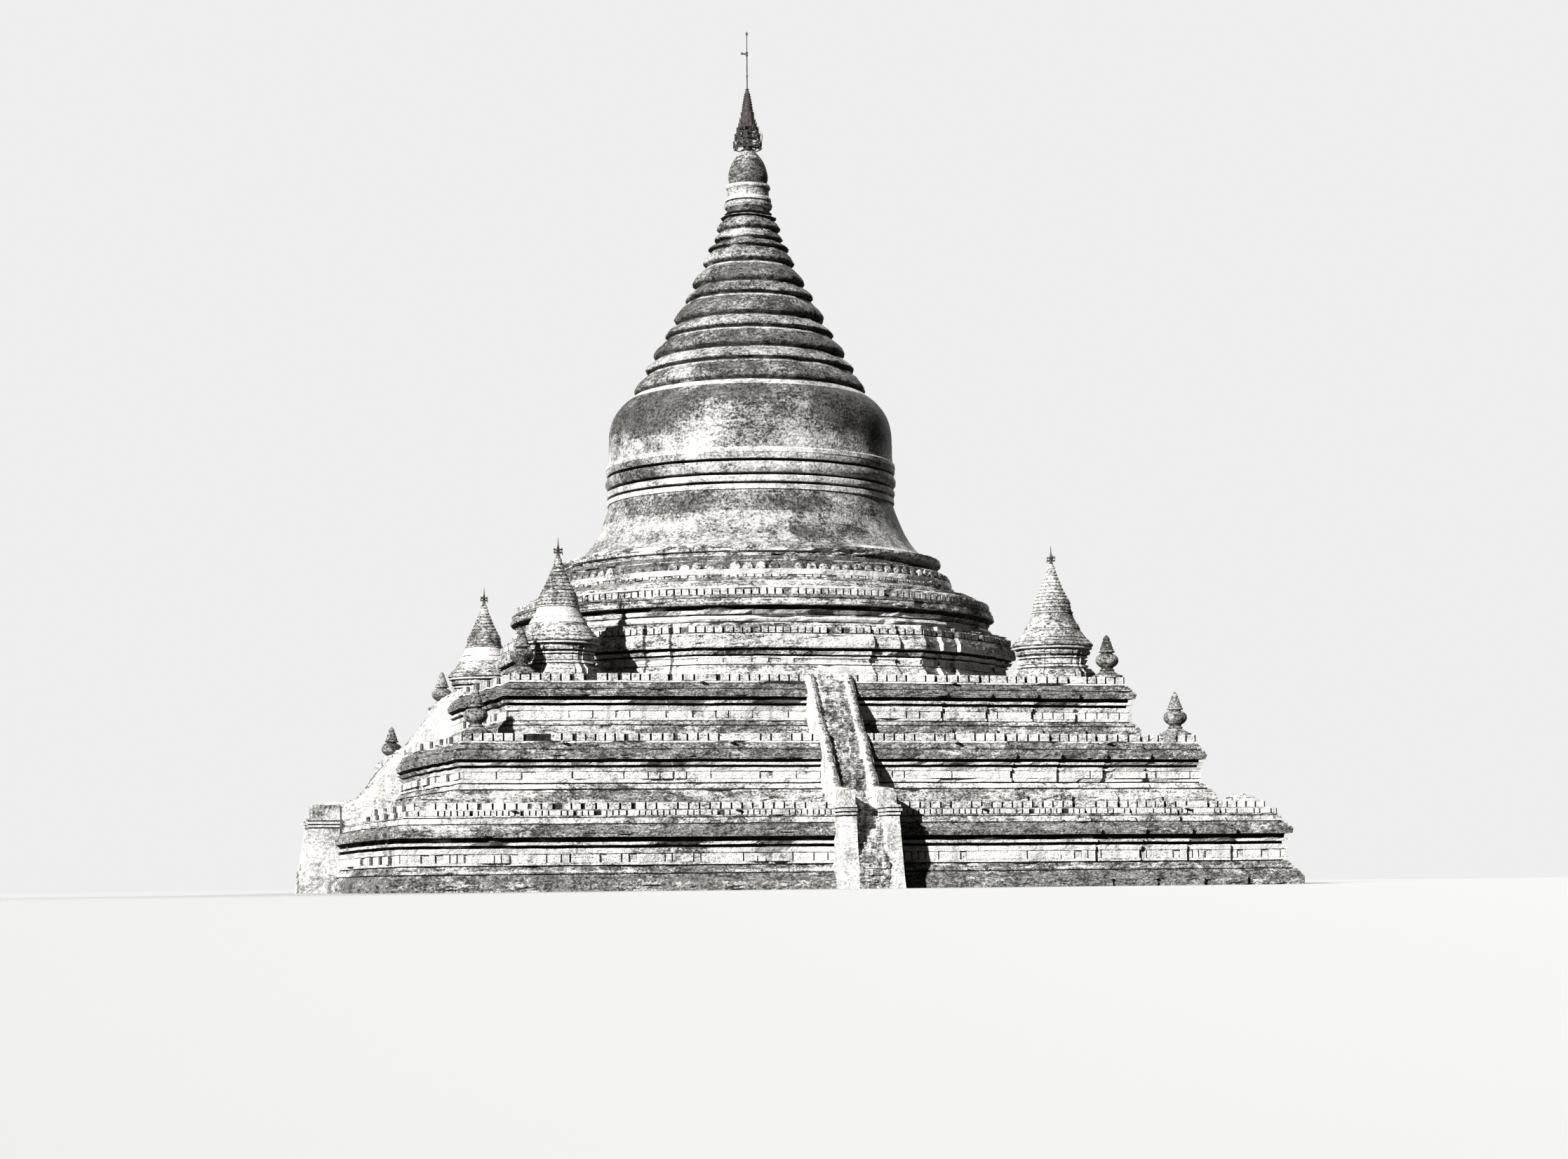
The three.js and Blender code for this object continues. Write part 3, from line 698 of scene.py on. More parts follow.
# Stairs: on every side a steep flight of brick steps, worn hollow and broken, between two plastered parapets.
# Each parapet ends in a tapering post with a moulded cap, and a block of wall stands on the cap.
STEP_COUNT = 34
STEP_RISE = UPPER_TOP / STEP_COUNT
STEP_RUN = STEP_RISE * STAIR_SLOPE
STAIR_FOOT = STAIR_HEAD + (STEP_COUNT - 1.2) * STEP_RUN
FLIGHT_HALF = 0.092
STAIR_DEPTH = 0.257
PARAPET_PROUD = 0.05
PARAPET_CROWN = 0.016
SILTED = 0.02
RUBBLE = 0.085
RUBBLE_TOP = 0.6
LANDING = 0.025
LANDING_HEIGHT = 0.944
POST_BACK = 2.8
POST_TOP = 0.585
POST_LAP = 0.002
POST_WEAR = 0.003
POST_SPLITS = [4, 10, 4, 10]
BROKEN_STEP = Vector((0.068, 0.625))
BROKEN_REACH = 0.05
BROKEN_DEPTH = 0.07
POST_OUTLINE = moulding(
    ("white", ((0.187, 3.06), 0), ((0.184, 3.052), 0.06), ((0.177, 3.025), 0.24)),
    ("black", ((0.17, 3.0), 0.418), ((0.166, 2.995), 0.42)),
    ("white", ((0.166, 2.995), 0.426), ((0.175, 3.008), 0.428)),
    ("black", ((0.175, 3.008), 0.44), ((0.169, 2.998), 0.442)),
    ("white", ((0.169, 2.998), 0.447), ((0.183, 3.02), 0.449)),
    ("black", ((0.183, 3.02), 0.463), ((0.172, 3.0), 0.465)),
    ("white", ((0.172, 3.0), 0.47), ((0.178, 3.01), 0.472)),
    ("pale", ((0.178, 3.01), 0.484), ((0.163, 2.975), 0.489), ((0.16, 2.97), POST_TOP)),
)
lime_stucco = masonry(
    "lime_stucco",
    dark=(0.018, 0.017, 0.016, 1),
    light=(0.165, 0.16, 0.152, 1),
    wash=(0.72, 0.71, 0.685, 1),
    rough_depth=0.02,
    patch=0.8,
    streaks=0.7,
    laid=0.12,
    clear=(0.05, 1.3),
)


def silted(height):
    """How far dust and fallen brick have filled the steps out; they lie deepest between the posts."""
    return SILTED + RUBBLE * min(1.0, max(0.0, (RUBBLE_TOP - height) / 0.2))


def flight_outline(x, seed, broken):
    """The worn steps at one place across the flight, as (distance in front, height), from the top down."""
    points = [(nosing(UPPER_TOP) - STAIR_DEPTH, UPPER_TOP)]
    hollow = 1 - (x / FLIGHT_HALF) ** 2
    for step in range(STEP_COUNT):
        height = UPPER_TOP - step * STEP_RISE
        front = min(STAIR_HEAD + step * STEP_RUN + silted(height), STAIR_FOOT)
        chipped = max(0.0, noise.noise(Vector((x * 31, step * 1.3, seed))) + 0.25)
        loss = min(0.8, 0.12 * hollow + 0.75 * chipped)
        gap = (Vector((x, height)) - BROKEN_STEP).length / BROKEN_REACH
        deep = BROKEN_DEPTH * max(0.0, 1 - gap) ** 0.5 if broken and gap < 1 else 0
        rough = 0.2 * STEP_RUN * (1 + noise.noise(Vector((x * 23, step * 2.1, seed + 7))))
        points.append((front - STEP_RUN * (0.35 + loss * 0.5) - deep, height - STEP_RISE * 0.1 * loss))
        points.append((front - STEP_RUN * loss * 0.6 - deep, height - STEP_RISE * (0.1 + 0.55 * loss)))
        points.append((front - rough - deep, height - STEP_RISE * 0.97))
    points.append((STAIR_FOOT, 0))
    points.append((nosing(0) - STAIR_DEPTH, 0))
    return [(front, max(0.0, height)) for front, height in points]


def parapet_outline(seed, edge):
    """The parapet's outline from the top down, its upper edges worn; edge runs from -1 to 1 across it."""
    top_line = [
        (nosing(UPPER_TOP) + PARAPET_PROUD - 0.012 * STAIR_SLOPE, UPPER_TOP - 0.001),
        (nosing(LANDING_HEIGHT) + PARAPET_PROUD - 0.01, LANDING_HEIGHT),
        (nosing(LANDING_HEIGHT) + PARAPET_PROUD + LANDING, LANDING_HEIGHT - 0.002),
        (nosing(POST_TOP) + PARAPET_PROUD + LANDING, POST_TOP),
    ]
    points = [(nosing(UPPER_TOP) - STAIR_DEPTH, UPPER_TOP - 0.001)]
    for (f0, z0), (f1, z1) in zip(top_line, top_line[1:]):
        count = max(1, round(math.dist((f0, z0), (f1, z1)) / 0.028))
        for i in range(count):
            f, z = f0 + (f1 - f0) * i / count, z0 + (z1 - z0) * i / count
            chip = 0.003 + 0.012 * max(0.0, noise.noise(Vector((seed * 9, f * 6.3, z * 17))))
            loss = chip * (1.0 if abs(edge) > 0.7 else 0.35) + PARAPET_CROWN * edge * edge
            points.append((f - loss * 0.77, z - loss * 0.63))
    points += [(POST_BACK + 0.15, POST_TOP - 0.002), (POST_BACK + 0.15, 0), (nosing(0) - STAIR_DEPTH, 0)]
    return points


def slab_across(name, outlines, finish_at, nodes, quarter):
    """A closed body through like outlines set side by side across the stair, as [(x, outline)]."""
    count = len(outlines[0][1])
    flat = [(x, -front, height) for x, outline in outlines for front, height in outline]
    turned = turned_about([(x, y) for x, y, _ in flat], quarter)
    points = [(*spot, height) for spot, (_, _, height) in zip(turned, flat)]
    faces = sheathed(len(outlines), count)
    marks = [finish_at(row, i) for row in range(len(outlines) - 1) for i in range(count)]
    courses = []
    for number, face in enumerate(faces):
        for corner in face:
            x, y, z = flat[corner]
            courses += [(x if number < len(marks) else y) * module, z * module]
    marks += [(1.05, 0), (1.05, 0)]
    finish_piece(mesh_of(name, points, faces, marks, courses), weathered_brick, nodes)


def stair_post(name, hand, quarter):
    """The post at the foot of one parapet; hand is 1 on the right and -1 on the left."""
    rings = []
    inner = FLIGHT_HALF - POST_LAP
    for (outer, front), height, _ in POST_OUTLINE:
        corners = [(inner, -front), (outer, -front), (outer, -POST_BACK), (inner, -POST_BACK)]
        ring = [
            (x - eaten(x, y, height, POST_WEAR) * (x > FLIGHT_HALF), y + eaten(y, x, height, POST_WEAR))
            for x, y in share_out(corners, 0, POST_SPLITS)[0]
        ]
        if hand < 0:
            ring = [(-x, y) for x, y in reversed(ring)]
        ragged = 0.012 if height == POST_TOP else 0
        rings.append([
            (x, y, height - ragged * (1 + noise.noise(Vector((x * 30, y * 30, 1)))))
            for x, y in turned_about(ring, quarter)
        ])
    finish_piece(skin(name, rings, [row[2] for row in POST_OUTLINE], "grey"), lime_stucco)


def parapet_finish(row, i):
    """Limewash lasts on the rounded flanks and has gone from the middle of the top."""
    return (1.0, 0.8, 0.5, 0.3, 0.45, 0.7, 1.0)[row], 0.0


FLIGHT_COLUMNS = 16
for number, side in enumerate(("front", "right", "back", "left")):
    quarter = number * QUARTER
    chance = random.Random(side)
    widths = [-FLIGHT_HALF + 2 * FLIGHT_HALF * i / FLIGHT_COLUMNS for i in range(FLIGHT_COLUMNS + 1)]
    outlines = [(x, flight_outline(x, 2 + number * 3.7, side == "front")) for x in widths]

    def step_finish(row, i):
        """Treads are grimy; the risers' limewash comes and goes along the flight."""
        here = Vector((row * 0.45, i * 0.21, number * 5.0))
        washed = 0.42 + 0.7 * noise.noise(here) + chance.uniform(-0.1, 0.1)
        return washed, 0.35 if i % 3 == 0 else 0.0

    slab_across(side + "_steps", outlines, step_finish, [side + "_stair_flight"], quarter)
    for hand, word in ((-1, "left"), (1, "right")):
        middle, half_width = (FLIGHT_HALF + PARAPET_OUTER) / 2, (PARAPET_OUTER - FLIGHT_HALF) / 2
        strips = [
            (hand * (middle + half_width * edge), parapet_outline(edge * hand + number * 2.3, edge))
            for edge in (-1, -0.8, -0.5, -0.15, 0.2, 0.5, 0.8, 1)
        ]
        name = f"{side}_stair_{word}_parapet"
        slab_across(name + "_wall", strips[::hand], parapet_finish, [name], quarter)
        stair_post(name + "_post", hand, quarter)


# Eight-sided tier: brickwork laid in lime mortar like the terraces, its faces stepping forward twice.
# Merlons stand on its rim, and limewashed blocks fill most of the recess between its fillets.
OCTAGON_HALF = 0.75
OCTAGON_FRONT = 1.64
OCTAGON_BREAKS = (0.177, 0.354)
OCTAGON_STEP = 0.03
OCTAGON_OUTLINE = moulding(
    ("faded", (0, 1.309), (0, 1.345)),
    ("black", (-0.04, 1.393), (-0.062, 1.394)),
    ("white", (-0.062, 1.4), (-0.046, 1.401), (-0.046, 1.411)),
    ("panel", (-0.056, 1.412)),
    ("white", (-0.056, 1.438), (-0.046, 1.439)),
    ("black", (-0.046, 1.45), (-0.072, 1.451)),
    ("grey", (-0.072, 1.461)),
    ("pale", (-0.034, 1.462)),
    ("black", (-0.03, 1.483), (-0.062, 1.484), (-0.058, 1.499)),
    ("faded", (-0.006, 1.502), (0, 1.51), (0, 1.545)),
    ("black", (-0.026, 1.592), (-0.04, 1.593)),
    ("dark", (-0.04, 1.597), (-0.05, 1.598)),
    ("grey", (-0.05, 1.636), (-0.05, 1.66)),
)


def octagon_side(offset):
    """A quarter of the tier's plan: one face and the diagonal one that follows it."""
    half = OCTAGON_HALF + offset * math.tan(math.pi / 8)
    front = OCTAGON_FRONT + offset
    face = stepped_side(half, front, OCTAGON_BREAKS, OCTAGON_STEP)
    diagonal_half, diagonal_front = (front - half) / math.sqrt(2), (front + half) / math.sqrt(2)
    diagonal = stepped_side(diagonal_half, diagonal_front, OCTAGON_BREAKS, OCTAGON_STEP)
    return face + turned_about(diagonal, math.pi / 4)


def octagon_ring(offset, height, counts=None):
    return share_out(octagon_side(offset), QUARTER, counts)


stage_of_building("eight_sided_brickwork", OCTAGON_OUTLINE, octagon_ring, 4, ["octagonal_tier"], 0.008, 0.3)
merlon_places = to_all_sides(places_along(octagon_side(-0.03), QUARTER, 0.049, 0.006))
block_row("eight_sided_merlons", merlon_places, 0.0395, 1.599, 1.638, 0.022, "pale", gone=0.03)
panels = to_all_sides(places_along(octagon_side(-0.046), QUARTER, 0.085, 0.02))
filled = [place for place in panels if noise.noise(Vector((place[0] * 2, place[1] * 2, 5))) > -0.12]
block_row("eight_sided_infill", filled, 0.085, 1.411, 1.439, 0.012, "white", 0.001, 0.1, 0)


# Round tiers: brick rings that carry the bell, with a plastered roll at the foot and merlons on the slope.
# Above them a ring of lotus petals, cut in brick and plastered, stands under the foot of the bell.
ROUND_COLUMNS = 192
ROUND_OUTLINE = moulding(
    ("grey", (1.6, 1.66)),
    ("white", (1.606, 1.672), (1.624, 1.678), (1.632, 1.692), (1.624, 1.707)),
    ("black", (1.606, 1.712), (1.59, 1.714)),
    ("pale", (1.59, 1.722), (1.604, 1.724)),
    ("black", (1.606, 1.748), (1.586, 1.751), (1.592, 1.772)),
    ("grey", (1.638, 1.778), (1.645, 1.785)),
    ("dark", (1.634, 1.82), (1.626, 1.822)),
    ("brick", (1.626, 1.826), (1.632, 1.828)),
    ("dark", (1.618, 1.846), (1.596, 1.848)),
    ("white", (1.596, 1.888), (1.602, 1.89)),
    ("dark", (1.586, 1.9)),
    ("grey", (1.57, 1.902), (1.543, 1.911)),
    ("dark", (1.47, 1.945)),
    ("grey", (1.462, 1.946), (1.42, 1.958)),
)
LOTUS_OUTLINE = moulding(
    ("brick", (1.4, 1.958)),
    ("dark", (1.384, 1.98), (1.366, 1.982)),
    ("white", (1.366, 1.999), (1.374, 2.001)),
    ("grey", (1.37, 2.034)),
    ("dark", (1.342, 2.038), (1.33, 2.088)),
    ("grey", (1.32, 2.092)),
    ("black", (1.312, 2.098)),
    ("dark", (1.286, 2.1), (1.276, 2.126)),
    ("grey", (1.272, 2.13)),
    ("pale", (1.278, 2.15), (1.294, 2.16)),
    ("grey", (1.298, 2.176), (1.286, 2.196)),
    ("pale", (1.262, 2.207), (1.22, 2.222)),
)


def around_axis(angle, radius, height, centre=(0, 0)):
    return Vector((radius * math.sin(angle) + centre[0], -radius * math.cos(angle) + centre[1], height))


def around(radius, count):
    """Even places round the axis, from the front on, as (x, y, bearing, width share)."""
    turn = 2 * math.pi / count
    return [(radius * math.sin(i * turn), -radius * math.cos(i * turn), i * turn, 1.0) for i in range(count)]


def round_ring(radius, height, counts=None):
    return [place[:2] for place in around(radius, ROUND_COLUMNS)], counts


stage_of_building("round_brickwork", ROUND_OUTLINE, round_ring, 1, ["round_tier"], 0.011, 0.45)
stage_of_building("lotus_brickwork", LOTUS_OUTLINE, round_ring, 1, ["lotus_ring"], 0.013, 0.5)
block_row("round_merlons", around(1.614, 204), 0.0385, 1.848, 1.888, 0.02, "pale", 0.003, 0.04, 0.25)
block_row("round_beads", around(1.378, 160), 0.044, 1.982, 1.998, 0.014, "pale", 0.002, 0.1, 0.3)

PETAL_ROWS = 6
PETAL_COLUMNS = 7
PETAL_THICKNESS = 0.012


def sheet(rows, columns):
    """Faces of a sheet laid out in rows of points."""
    starts = [row * columns + column for row in range(rows - 1) for column in range(columns - 1)]
    return [(a, a + 1, a + columns + 1, a + columns) for a in starts]


def petal_ring(name, radius, count, low, high, lean, gone):
    """Broad petals side by side, each swelling outwards under a blunt round tip, a few broken short."""
    chance = random.Random(name)
    half_angle = math.pi / count * 0.86
    petals, marks = [], []
    for number in range(count):
        if chance.random() < gone:
            continue
        tall = (high - low) * (1 - 0.45 * chance.random() ** 2)
        washed = 0.5 + 0.6 * noise.noise(Vector((number * 0.3, 2, radius))) + chance.uniform(-0.25, 0.25)
        points = []
        for row in range(PETAL_ROWS):
            share = row / (PETAL_ROWS - 1)
            narrow = (1 - 0.25 * share) * max(0.0, 1 - share**5) ** 0.5
            for column in range(PETAL_COLUMNS):
                side = (2 * column / (PETAL_COLUMNS - 1) - 1) * narrow
                swell = 0.009 * (1 - side * side) * (0.55 + 0.6 * math.sin(share * math.pi * 0.8))
                rough = 0.008 * noise.noise(Vector((number * 1.7 + side * 2, share * 4, radius)))
                angle = 2 * math.pi * number / count + half_angle * side
                points.append(around_axis(angle, radius - lean * share + swell + rough, low + tall * share))
        faces = sheet(PETAL_ROWS, PETAL_COLUMNS)
        petals.append((points, faces))
        marks += [(washed, 0)] * len(faces)
    mesh = mesh_of(name, *joined(petals), marks)
    mesh.shade_smooth()
    backing = finish_piece(mesh, weathered_brick).modifiers.new("backing", "SOLIDIFY")
    backing.thickness = PETAL_THICKNESS * module
    backing.offset = -1


petal_ring("upright_petals", 1.35, 102, 2.036, 2.086, 0.022, 0.06)


# Bell: its foot, its triple band and the bell itself, solid brick under a thick coat of lime stucco.
# The stucco has weathered in patches, darker on the shoulder and where the rain runs; two patches on the
# right are painted shade.
SHELL_STEP = 0.022
FINISHES["shell"] = (0.31, 0.0)
FINISHES["shoulder"] = (0.07, 0.0)
FINISHES["skirt"] = (0.54, 0.0)
# Damp stains, and two patches of painted shade on the right, each as its bearing from the front towards the
# left, its height, half its width in degrees, half its height and its strength.
BELL_STAINS_AND_SHADE = (
    (68, 3.15, 35, 0.2, 0.8),
    (72, 2.76, 34, 0.12, 0.7),
    (20, 3.25, 28, 0.08, 0.5),
    # Partly painted shade: the shoulder darkens on the right, turned from the light, as well as with dirt.
    (-42, 3.12, 34, 0.24, 0.7),
    (44, 2.5, 20, 0.1, 0.6),
    (5, 2.5, 24, 0.08, 0.5),
    (-12, 2.31, 18, 0.07, 0.6),
    # Painted shade: the foot's right side, turned from the light, ends in a sharp dark edge.
    (-62, 2.42, 27, 0.22, 0.6),
    (125, 3.12, 25, 0.16, 0.5),
    (190, 3.2, 30, 0.12, 0.5),
    (235, 3.05, 20, 0.2, 0.6),
    (150, 2.45, 22, 0.12, 0.5),
    (215, 2.36, 18, 0.1, 0.5),
)
BELL_FOOT_OUTLINE = moulding(
    ("skirt", (1.2, 2.222), (1.165, 2.232), (1.105, 2.3), (1.05, 2.387)),
    ("shell", (1.022, 2.45), (1.0, 2.51), (0.982, 2.562)),
    ("white", (0.972, 2.598), (0.982, 2.6), (0.98, 2.632)),
)
BELL_BAND_OUTLINE = moulding(
    ("black", (0.972, 2.632), (0.95, 2.634)),
    ("white", (0.95, 2.646), (0.98, 2.65), (0.987, 2.666), (0.984, 2.686)),
    ("black", (0.968, 2.692), (0.948, 2.694)),
    ("pale", (0.948, 2.706), (0.978, 2.71), (0.992, 2.73), (0.994, 2.755)),
    ("black", (0.984, 2.78), (0.95, 2.783)),
    ("pale", (0.95, 2.797), (0.982, 2.8), (0.988, 2.815)),
    ("white", (0.986, 2.838), (0.99, 2.842), (0.988, 2.866), (0.978, 2.875)),
)
BELL_OUTLINE = moulding(
    ("skirt", (0.976, 2.875), (0.974, 2.9), (0.972, 2.93)),
    ("shell", (0.972, 2.99)),
    ("shoulder", (0.969, 3.06), (0.963, 3.115), (0.944, 3.182), (0.912, 3.238), (0.87, 3.288)),
    ("white", (0.836, 3.316), (0.806, 3.34)),
    ("dark", (0.79, 3.352), (0.77, 3.354)),
)


def curved(outline, step=SHELL_STEP):
    """Lays a smooth curve through an outline's points, except across narrow grooves and fillets."""
    points = [Vector((radius, height)) for radius, height, _ in outline]
    smooth = []
    for i in range(len(outline) - 1):
        a, b = points[i], points[i + 1]
        length = (b - a).length
        parts = max(1, round(length / step))
        before = points[i - 1] if i and parts > 1 else a
        after = points[i + 2] if i + 2 < len(points) and parts > 1 else b
        for part in range(parts):
            t = part / parts
            spot = 0.5 * (
                2 * a + (b - before) * t + (2 * before - 5 * a + 4 * b - after) * t * t
                + (3 * a - before - 3 * b + after) * t**3
            )
            smooth.append((spot.x, spot.y, outline[i][2]))
    smooth.append(outline[-1])
    return smooth


def stuccoed(
    name, outline, nodes, wear,
    lumps=0.0, stains=(), centre=(0, 0), columns=ROUND_COLUMNS, material=lime_stucco,
):
    """A round body of stucco with a slightly uneven, hand-floated face, whose edges waver up and down."""
    rings = []
    for radius, height, _ in outline:
        ring = []
        for x, y, _, _ in around(radius, columns):
            spot = Vector((x + centre[0], y + centre[1], height))
            loss = wear * (0.5 + uneven(spot, (0.5, 3.1), (0.4, 11), (0.4, 27)))
            loss += lumps * (max(0.0, noise.noise(spot * 5.3) + 0.1) + 0.6 * max(0.0, noise.noise(spot * 16)))
            loss += lumps * uneven(spot, (0.4, 37))
            shrink = 1 - max(0.0, loss) / radius
            inside = outline[0][1] < height < outline[-1][1]
            level = height + (wear * uneven(spot, (0.7, 1.9), (0.49, 8.0)) if inside else 0)
            ring.append((x * shrink + centre[0], y * shrink + centre[1], level))
        rings.append(ring)
    mesh = skin(name, rings, [row[2] for row in outline], "grey", 35, stains)
    finish_piece(mesh, material, nodes)


stuccoed("bell_foot_stucco", curved(BELL_FOOT_OUTLINE), ["bell_foot"], 0.005, stains=BELL_STAINS_AND_SHADE)
stuccoed("bell_band_stucco", BELL_BAND_OUTLINE, ["bell_band"], 0.003, stains=BELL_STAINS_AND_SHADE)
stuccoed("bell_stucco", curved(BELL_OUTLINE), ["bell"], 0.004, stains=BELL_STAINS_AND_SHADE)


# Spire: cushion-like rings of brick and stucco that shrink upwards, painted dark as shade at the rounded foot
# and in the undercut below each.
# Broad rings, blotched where their stucco has come away, take turns with narrow pale ones.
FINISHES["blotched"] = (0.04, 0.0)
FINISHES["mottled"] = (0.2, 0.0)
FINISHES["banded"] = (0.42, 0.0)
SPIRE_TOP = 4.63
SPIRE_RINGS = [
    (0.802, 3.37, "mottled"),
    (0.728, 3.518, "pale"),
    (0.67, 3.617, "blotched"),
    (0.588, 3.763, "banded"),
    (0.528, 3.862, "blotched"),
    (0.453, 4.019, "mottled"),
    (0.4, 4.117, "blotched"),
    (0.321, 4.265, "mottled"),
    (0.286, 4.373, "blotched"),
    (0.242, 4.435, "mottled"),
    (0.228, 4.51, "blotched"),
    (0.203, 4.6, "pale"),
]
UNDERCUT = 0.024
# Painted shade on the rounded foot of each ring, which turns down from the light.
FINISHES["underside_shade"] = (0.0, 0.35)
# A ring that rises more than this is a broad one, with a pale top edge.
BROAD = 0.12
# Shares of a ring's rise at which its cushion shape is laid out, from its rounded foot to its top edge.
CUSHION = (0, 0.05, 0.12, 0.2, 0.3, 0.45, 0.6, 0.76, 0.92)
ROUNDED_FOOT = 0.026
FOOT_SHARE = 0.26


def spire_outline():
    outline = [(0.78, 3.354, "black")]
    tops = SPIRE_RINGS[1:] + [(0.17, SPIRE_TOP, "white")]
    for (radius, height, finish), (next_radius, next_height, _) in zip(SPIRE_RINGS, tops):
        rise = next_height - height
        top_radius = next_radius - UNDERCUT
        for share in CUSHION:
            drawn_in = ROUNDED_FOOT * max(0.0, 1 - share / FOOT_SHARE) ** 2
            bulge = radius - (radius - top_radius) * share**1.7 - drawn_in
            shown = "underside_shade" if share < 0.1 else finish
            shown = "pale" if share == CUSHION[-1] and rise > BROAD else shown
            outline.append((bulge, height - 0.004 + (rise - 0.016) * share, "dark" if share == 0 else shown))
        outline.append((top_radius, next_height - 0.018, "black"))
        outline.append((top_radius - 0.006, next_height - 0.008, "black"))
    outline.append((0.165, SPIRE_TOP, "pale"))
    return outline


stuccoed("spire_rings", spire_outline(), ["ringed_spire"], 0.007, lumps=0.017)

COLLAR_OUTLINE = moulding(
    ("dark", (0.148, 4.63)),
    ("grey", (0.15, 4.66), (0.162, 4.668), (0.168, 4.685)),
    ("black", (0.162, 4.704), (0.15, 4.706)),
    ("white", (0.15, 4.712), (0.16, 4.716), (0.16, 4.73)),
    ("grey", (0.148, 4.744), (0.144, 4.752), (0.144, 4.798)),
    ("white", (0.15, 4.802), (0.155, 4.812)),
    ("dark", (0.15, 4.828), (0.136, 4.832)),
    ("grey", (0.132, 4.847)),
)
BUD_OUTLINE = moulding(
    ("mottled", (0.13, 4.847), (0.139, 4.88), (0.134, 4.925), (0.121, 4.968), (0.098, 5.012), (0.07, 5.05)),
    ("grey", (0.047, 5.074)),
)
stuccoed("collar_stucco", COLLAR_OUTLINE, ["spire_collar"], 0.003)
stuccoed("bud_stucco", curved(BUD_OUTLINE, 0.012), ["spire_bud"], 0.003)


# Crown: a wrought-iron umbrella on the spire's tip, with two tiers of scrolls and leaves under a ribbed cone.
# Straps bent into scrolls are riveted to hoops around the mast; small leaves hang loose from bent wires.
MAST_RADIUS = 0.03
HOOP_WIRE = 0.0035
CONE_FOOT = 5.235
CONE_TOP = 5.51
CONE_OUTLINE = [
    (0.066, CONE_FOOT),
    (0.058, 5.262),
    (0.05, 5.29),
    (0.043, 5.324),
    (0.0335, 5.4),
    (0.0204, 5.475),
    (0.007, CONE_TOP),
]
CONE_RIBS = 15
BRIM = 0.074
BRIM_HEIGHT = 5.206
BRIM_LEAVES = 22
HANGING_LEAVES = 5
BENT_WIRE = 0.0014
BAR_SIDES = 6
STRAP = (0.0028, 0.0034)
LEAF_SHAPE = ((0.35, 0), (1.0, 0.4), (0.55, 0.75), (0, 1))
LEAF_THICKNESS = 0.0022

wrought_iron, iron_nodes, iron_shader = new_material("wrought_iron", 0.78)
wrought_iron["slot"] = "wrought_iron"
iron_place = put(iron_nodes, "ShaderNodeTexCoord", {})["Object"]
rust = grain(iron_nodes, iron_place, (1, 1, 1), 9.0, 5.0, 0.65)
pits = grain(iron_nodes, iron_place, (1, 1, 1), 60.0, 3.0, 0.6)
rusted = stretch_to(iron_nodes, rust, 0.42, 0.62)
iron_tone = blended(iron_nodes, rusted, (0.022, 0.021, 0.02, 1), (0.085, 0.068, 0.056, 1))
iron_nodes.links.new(iron_tone, iron_shader["Base Color"])
iron_shader["Metallic"].default_value = 0.35
pitted = put(iron_nodes, "ShaderNodeBump", {"Height": pits, "Distance": 0.002, "Strength": 0.8})
iron_nodes.links.new(pitted[0], iron_shader["Normal"])


def bent_bar(path, wide, thick, closed=False, centre=(0, 0)):
    """A bar bent along a path, as points and faces; its thickness faces away from the centre's axis."""
    points = []
    for i, here in enumerate(path):
        before = path[i - 1] if closed or i else here
        after = path[(i + 1) % len(path)] if closed or i < len(path) - 1 else here
        along = (after - before).normalized()
        outward = Vector((here.x - centre[0], here.y - centre[1], 0))
        outward = outward.normalized() if outward.length > 0.001 else Vector((1, 0, 0))
        if abs(along.dot(outward)) > 0.95:
            outward = Vector((0, 0, 1))
        side = along.cross(outward).normalized()
        for corner in range(BAR_SIDES):
            angle = 2 * math.pi * corner / BAR_SIDES
            points.append(here + side * math.cos(angle) * wide + along.cross(side) * math.sin(angle) * thick)
    return points, sheathed(len(path), BAR_SIDES, closed)


def hoop(radius, height, wide=HOOP_WIRE, centre=(0, 0), steps=40):
    path = [around_axis(2 * math.pi * i / steps, radius, height, centre) for i in range(steps)]
    return bent_bar(path, wide, HOOP_WIRE * 0.7, closed=True, centre=centre)


def scroll(middle, radius, height, size, turns, flip):
    """A strap rolled up on itself, lying against the round of a hoop."""
    path = []
    steps = round(12 * turns)
    for i in range(steps + 1):
        share = i / steps
        roll = 2 * math.pi * turns * share * flip
        reach = size * (1 - 0.78 * share)
        bearing = middle + reach * math.sin(roll) / radius
        path.append(around_axis(bearing, radius, height + reach * math.cos(roll)))
    return bent_bar(path, *STRAP)


def plate(rows, columns):
    """Faces of a thin plate: the points of its front come first, then those of its back; a rim joins them."""
    front = sheet(rows, columns)
    back = rows * columns
    rim = list(range(columns)) + [row * columns + columns - 1 for row in range(1, rows)]
    rim += [back - 1 - column for column in range(1, columns)]
    rim += [row * columns for row in range(rows - 2, 0, -1)]
    faces = front + [tuple(back + corner for corner in reversed(face)) for face in front]
    return faces + [(b, a, back + a, back + b) for a, b in zip(rim, rim[1:] + rim[:1])]


def leaf(middle, radius, low, high, width, lean, centre=(0, 0)):
    """A pointed leaf of sheet iron, ridged down its middle; it hangs where high is below low."""
    rise = high - low
    hands = (-1, 0, 1) if rise > 0 else (1, 0, -1)
    points = []
    for depth in (0, -LEAF_THICKNESS):
        for sideways, up in LEAF_SHAPE:
            for hand in hands:
                bow = 0.004 * (1 - abs(hand)) * (1 - up)
                reach = radius + lean * up * up + bow + depth
                bearing = middle + hand * sideways * width / radius
                points.append(around_axis(bearing, reach, low + up * rise, centre))
    return points, plate(len(LEAF_SHAPE), len(hands))


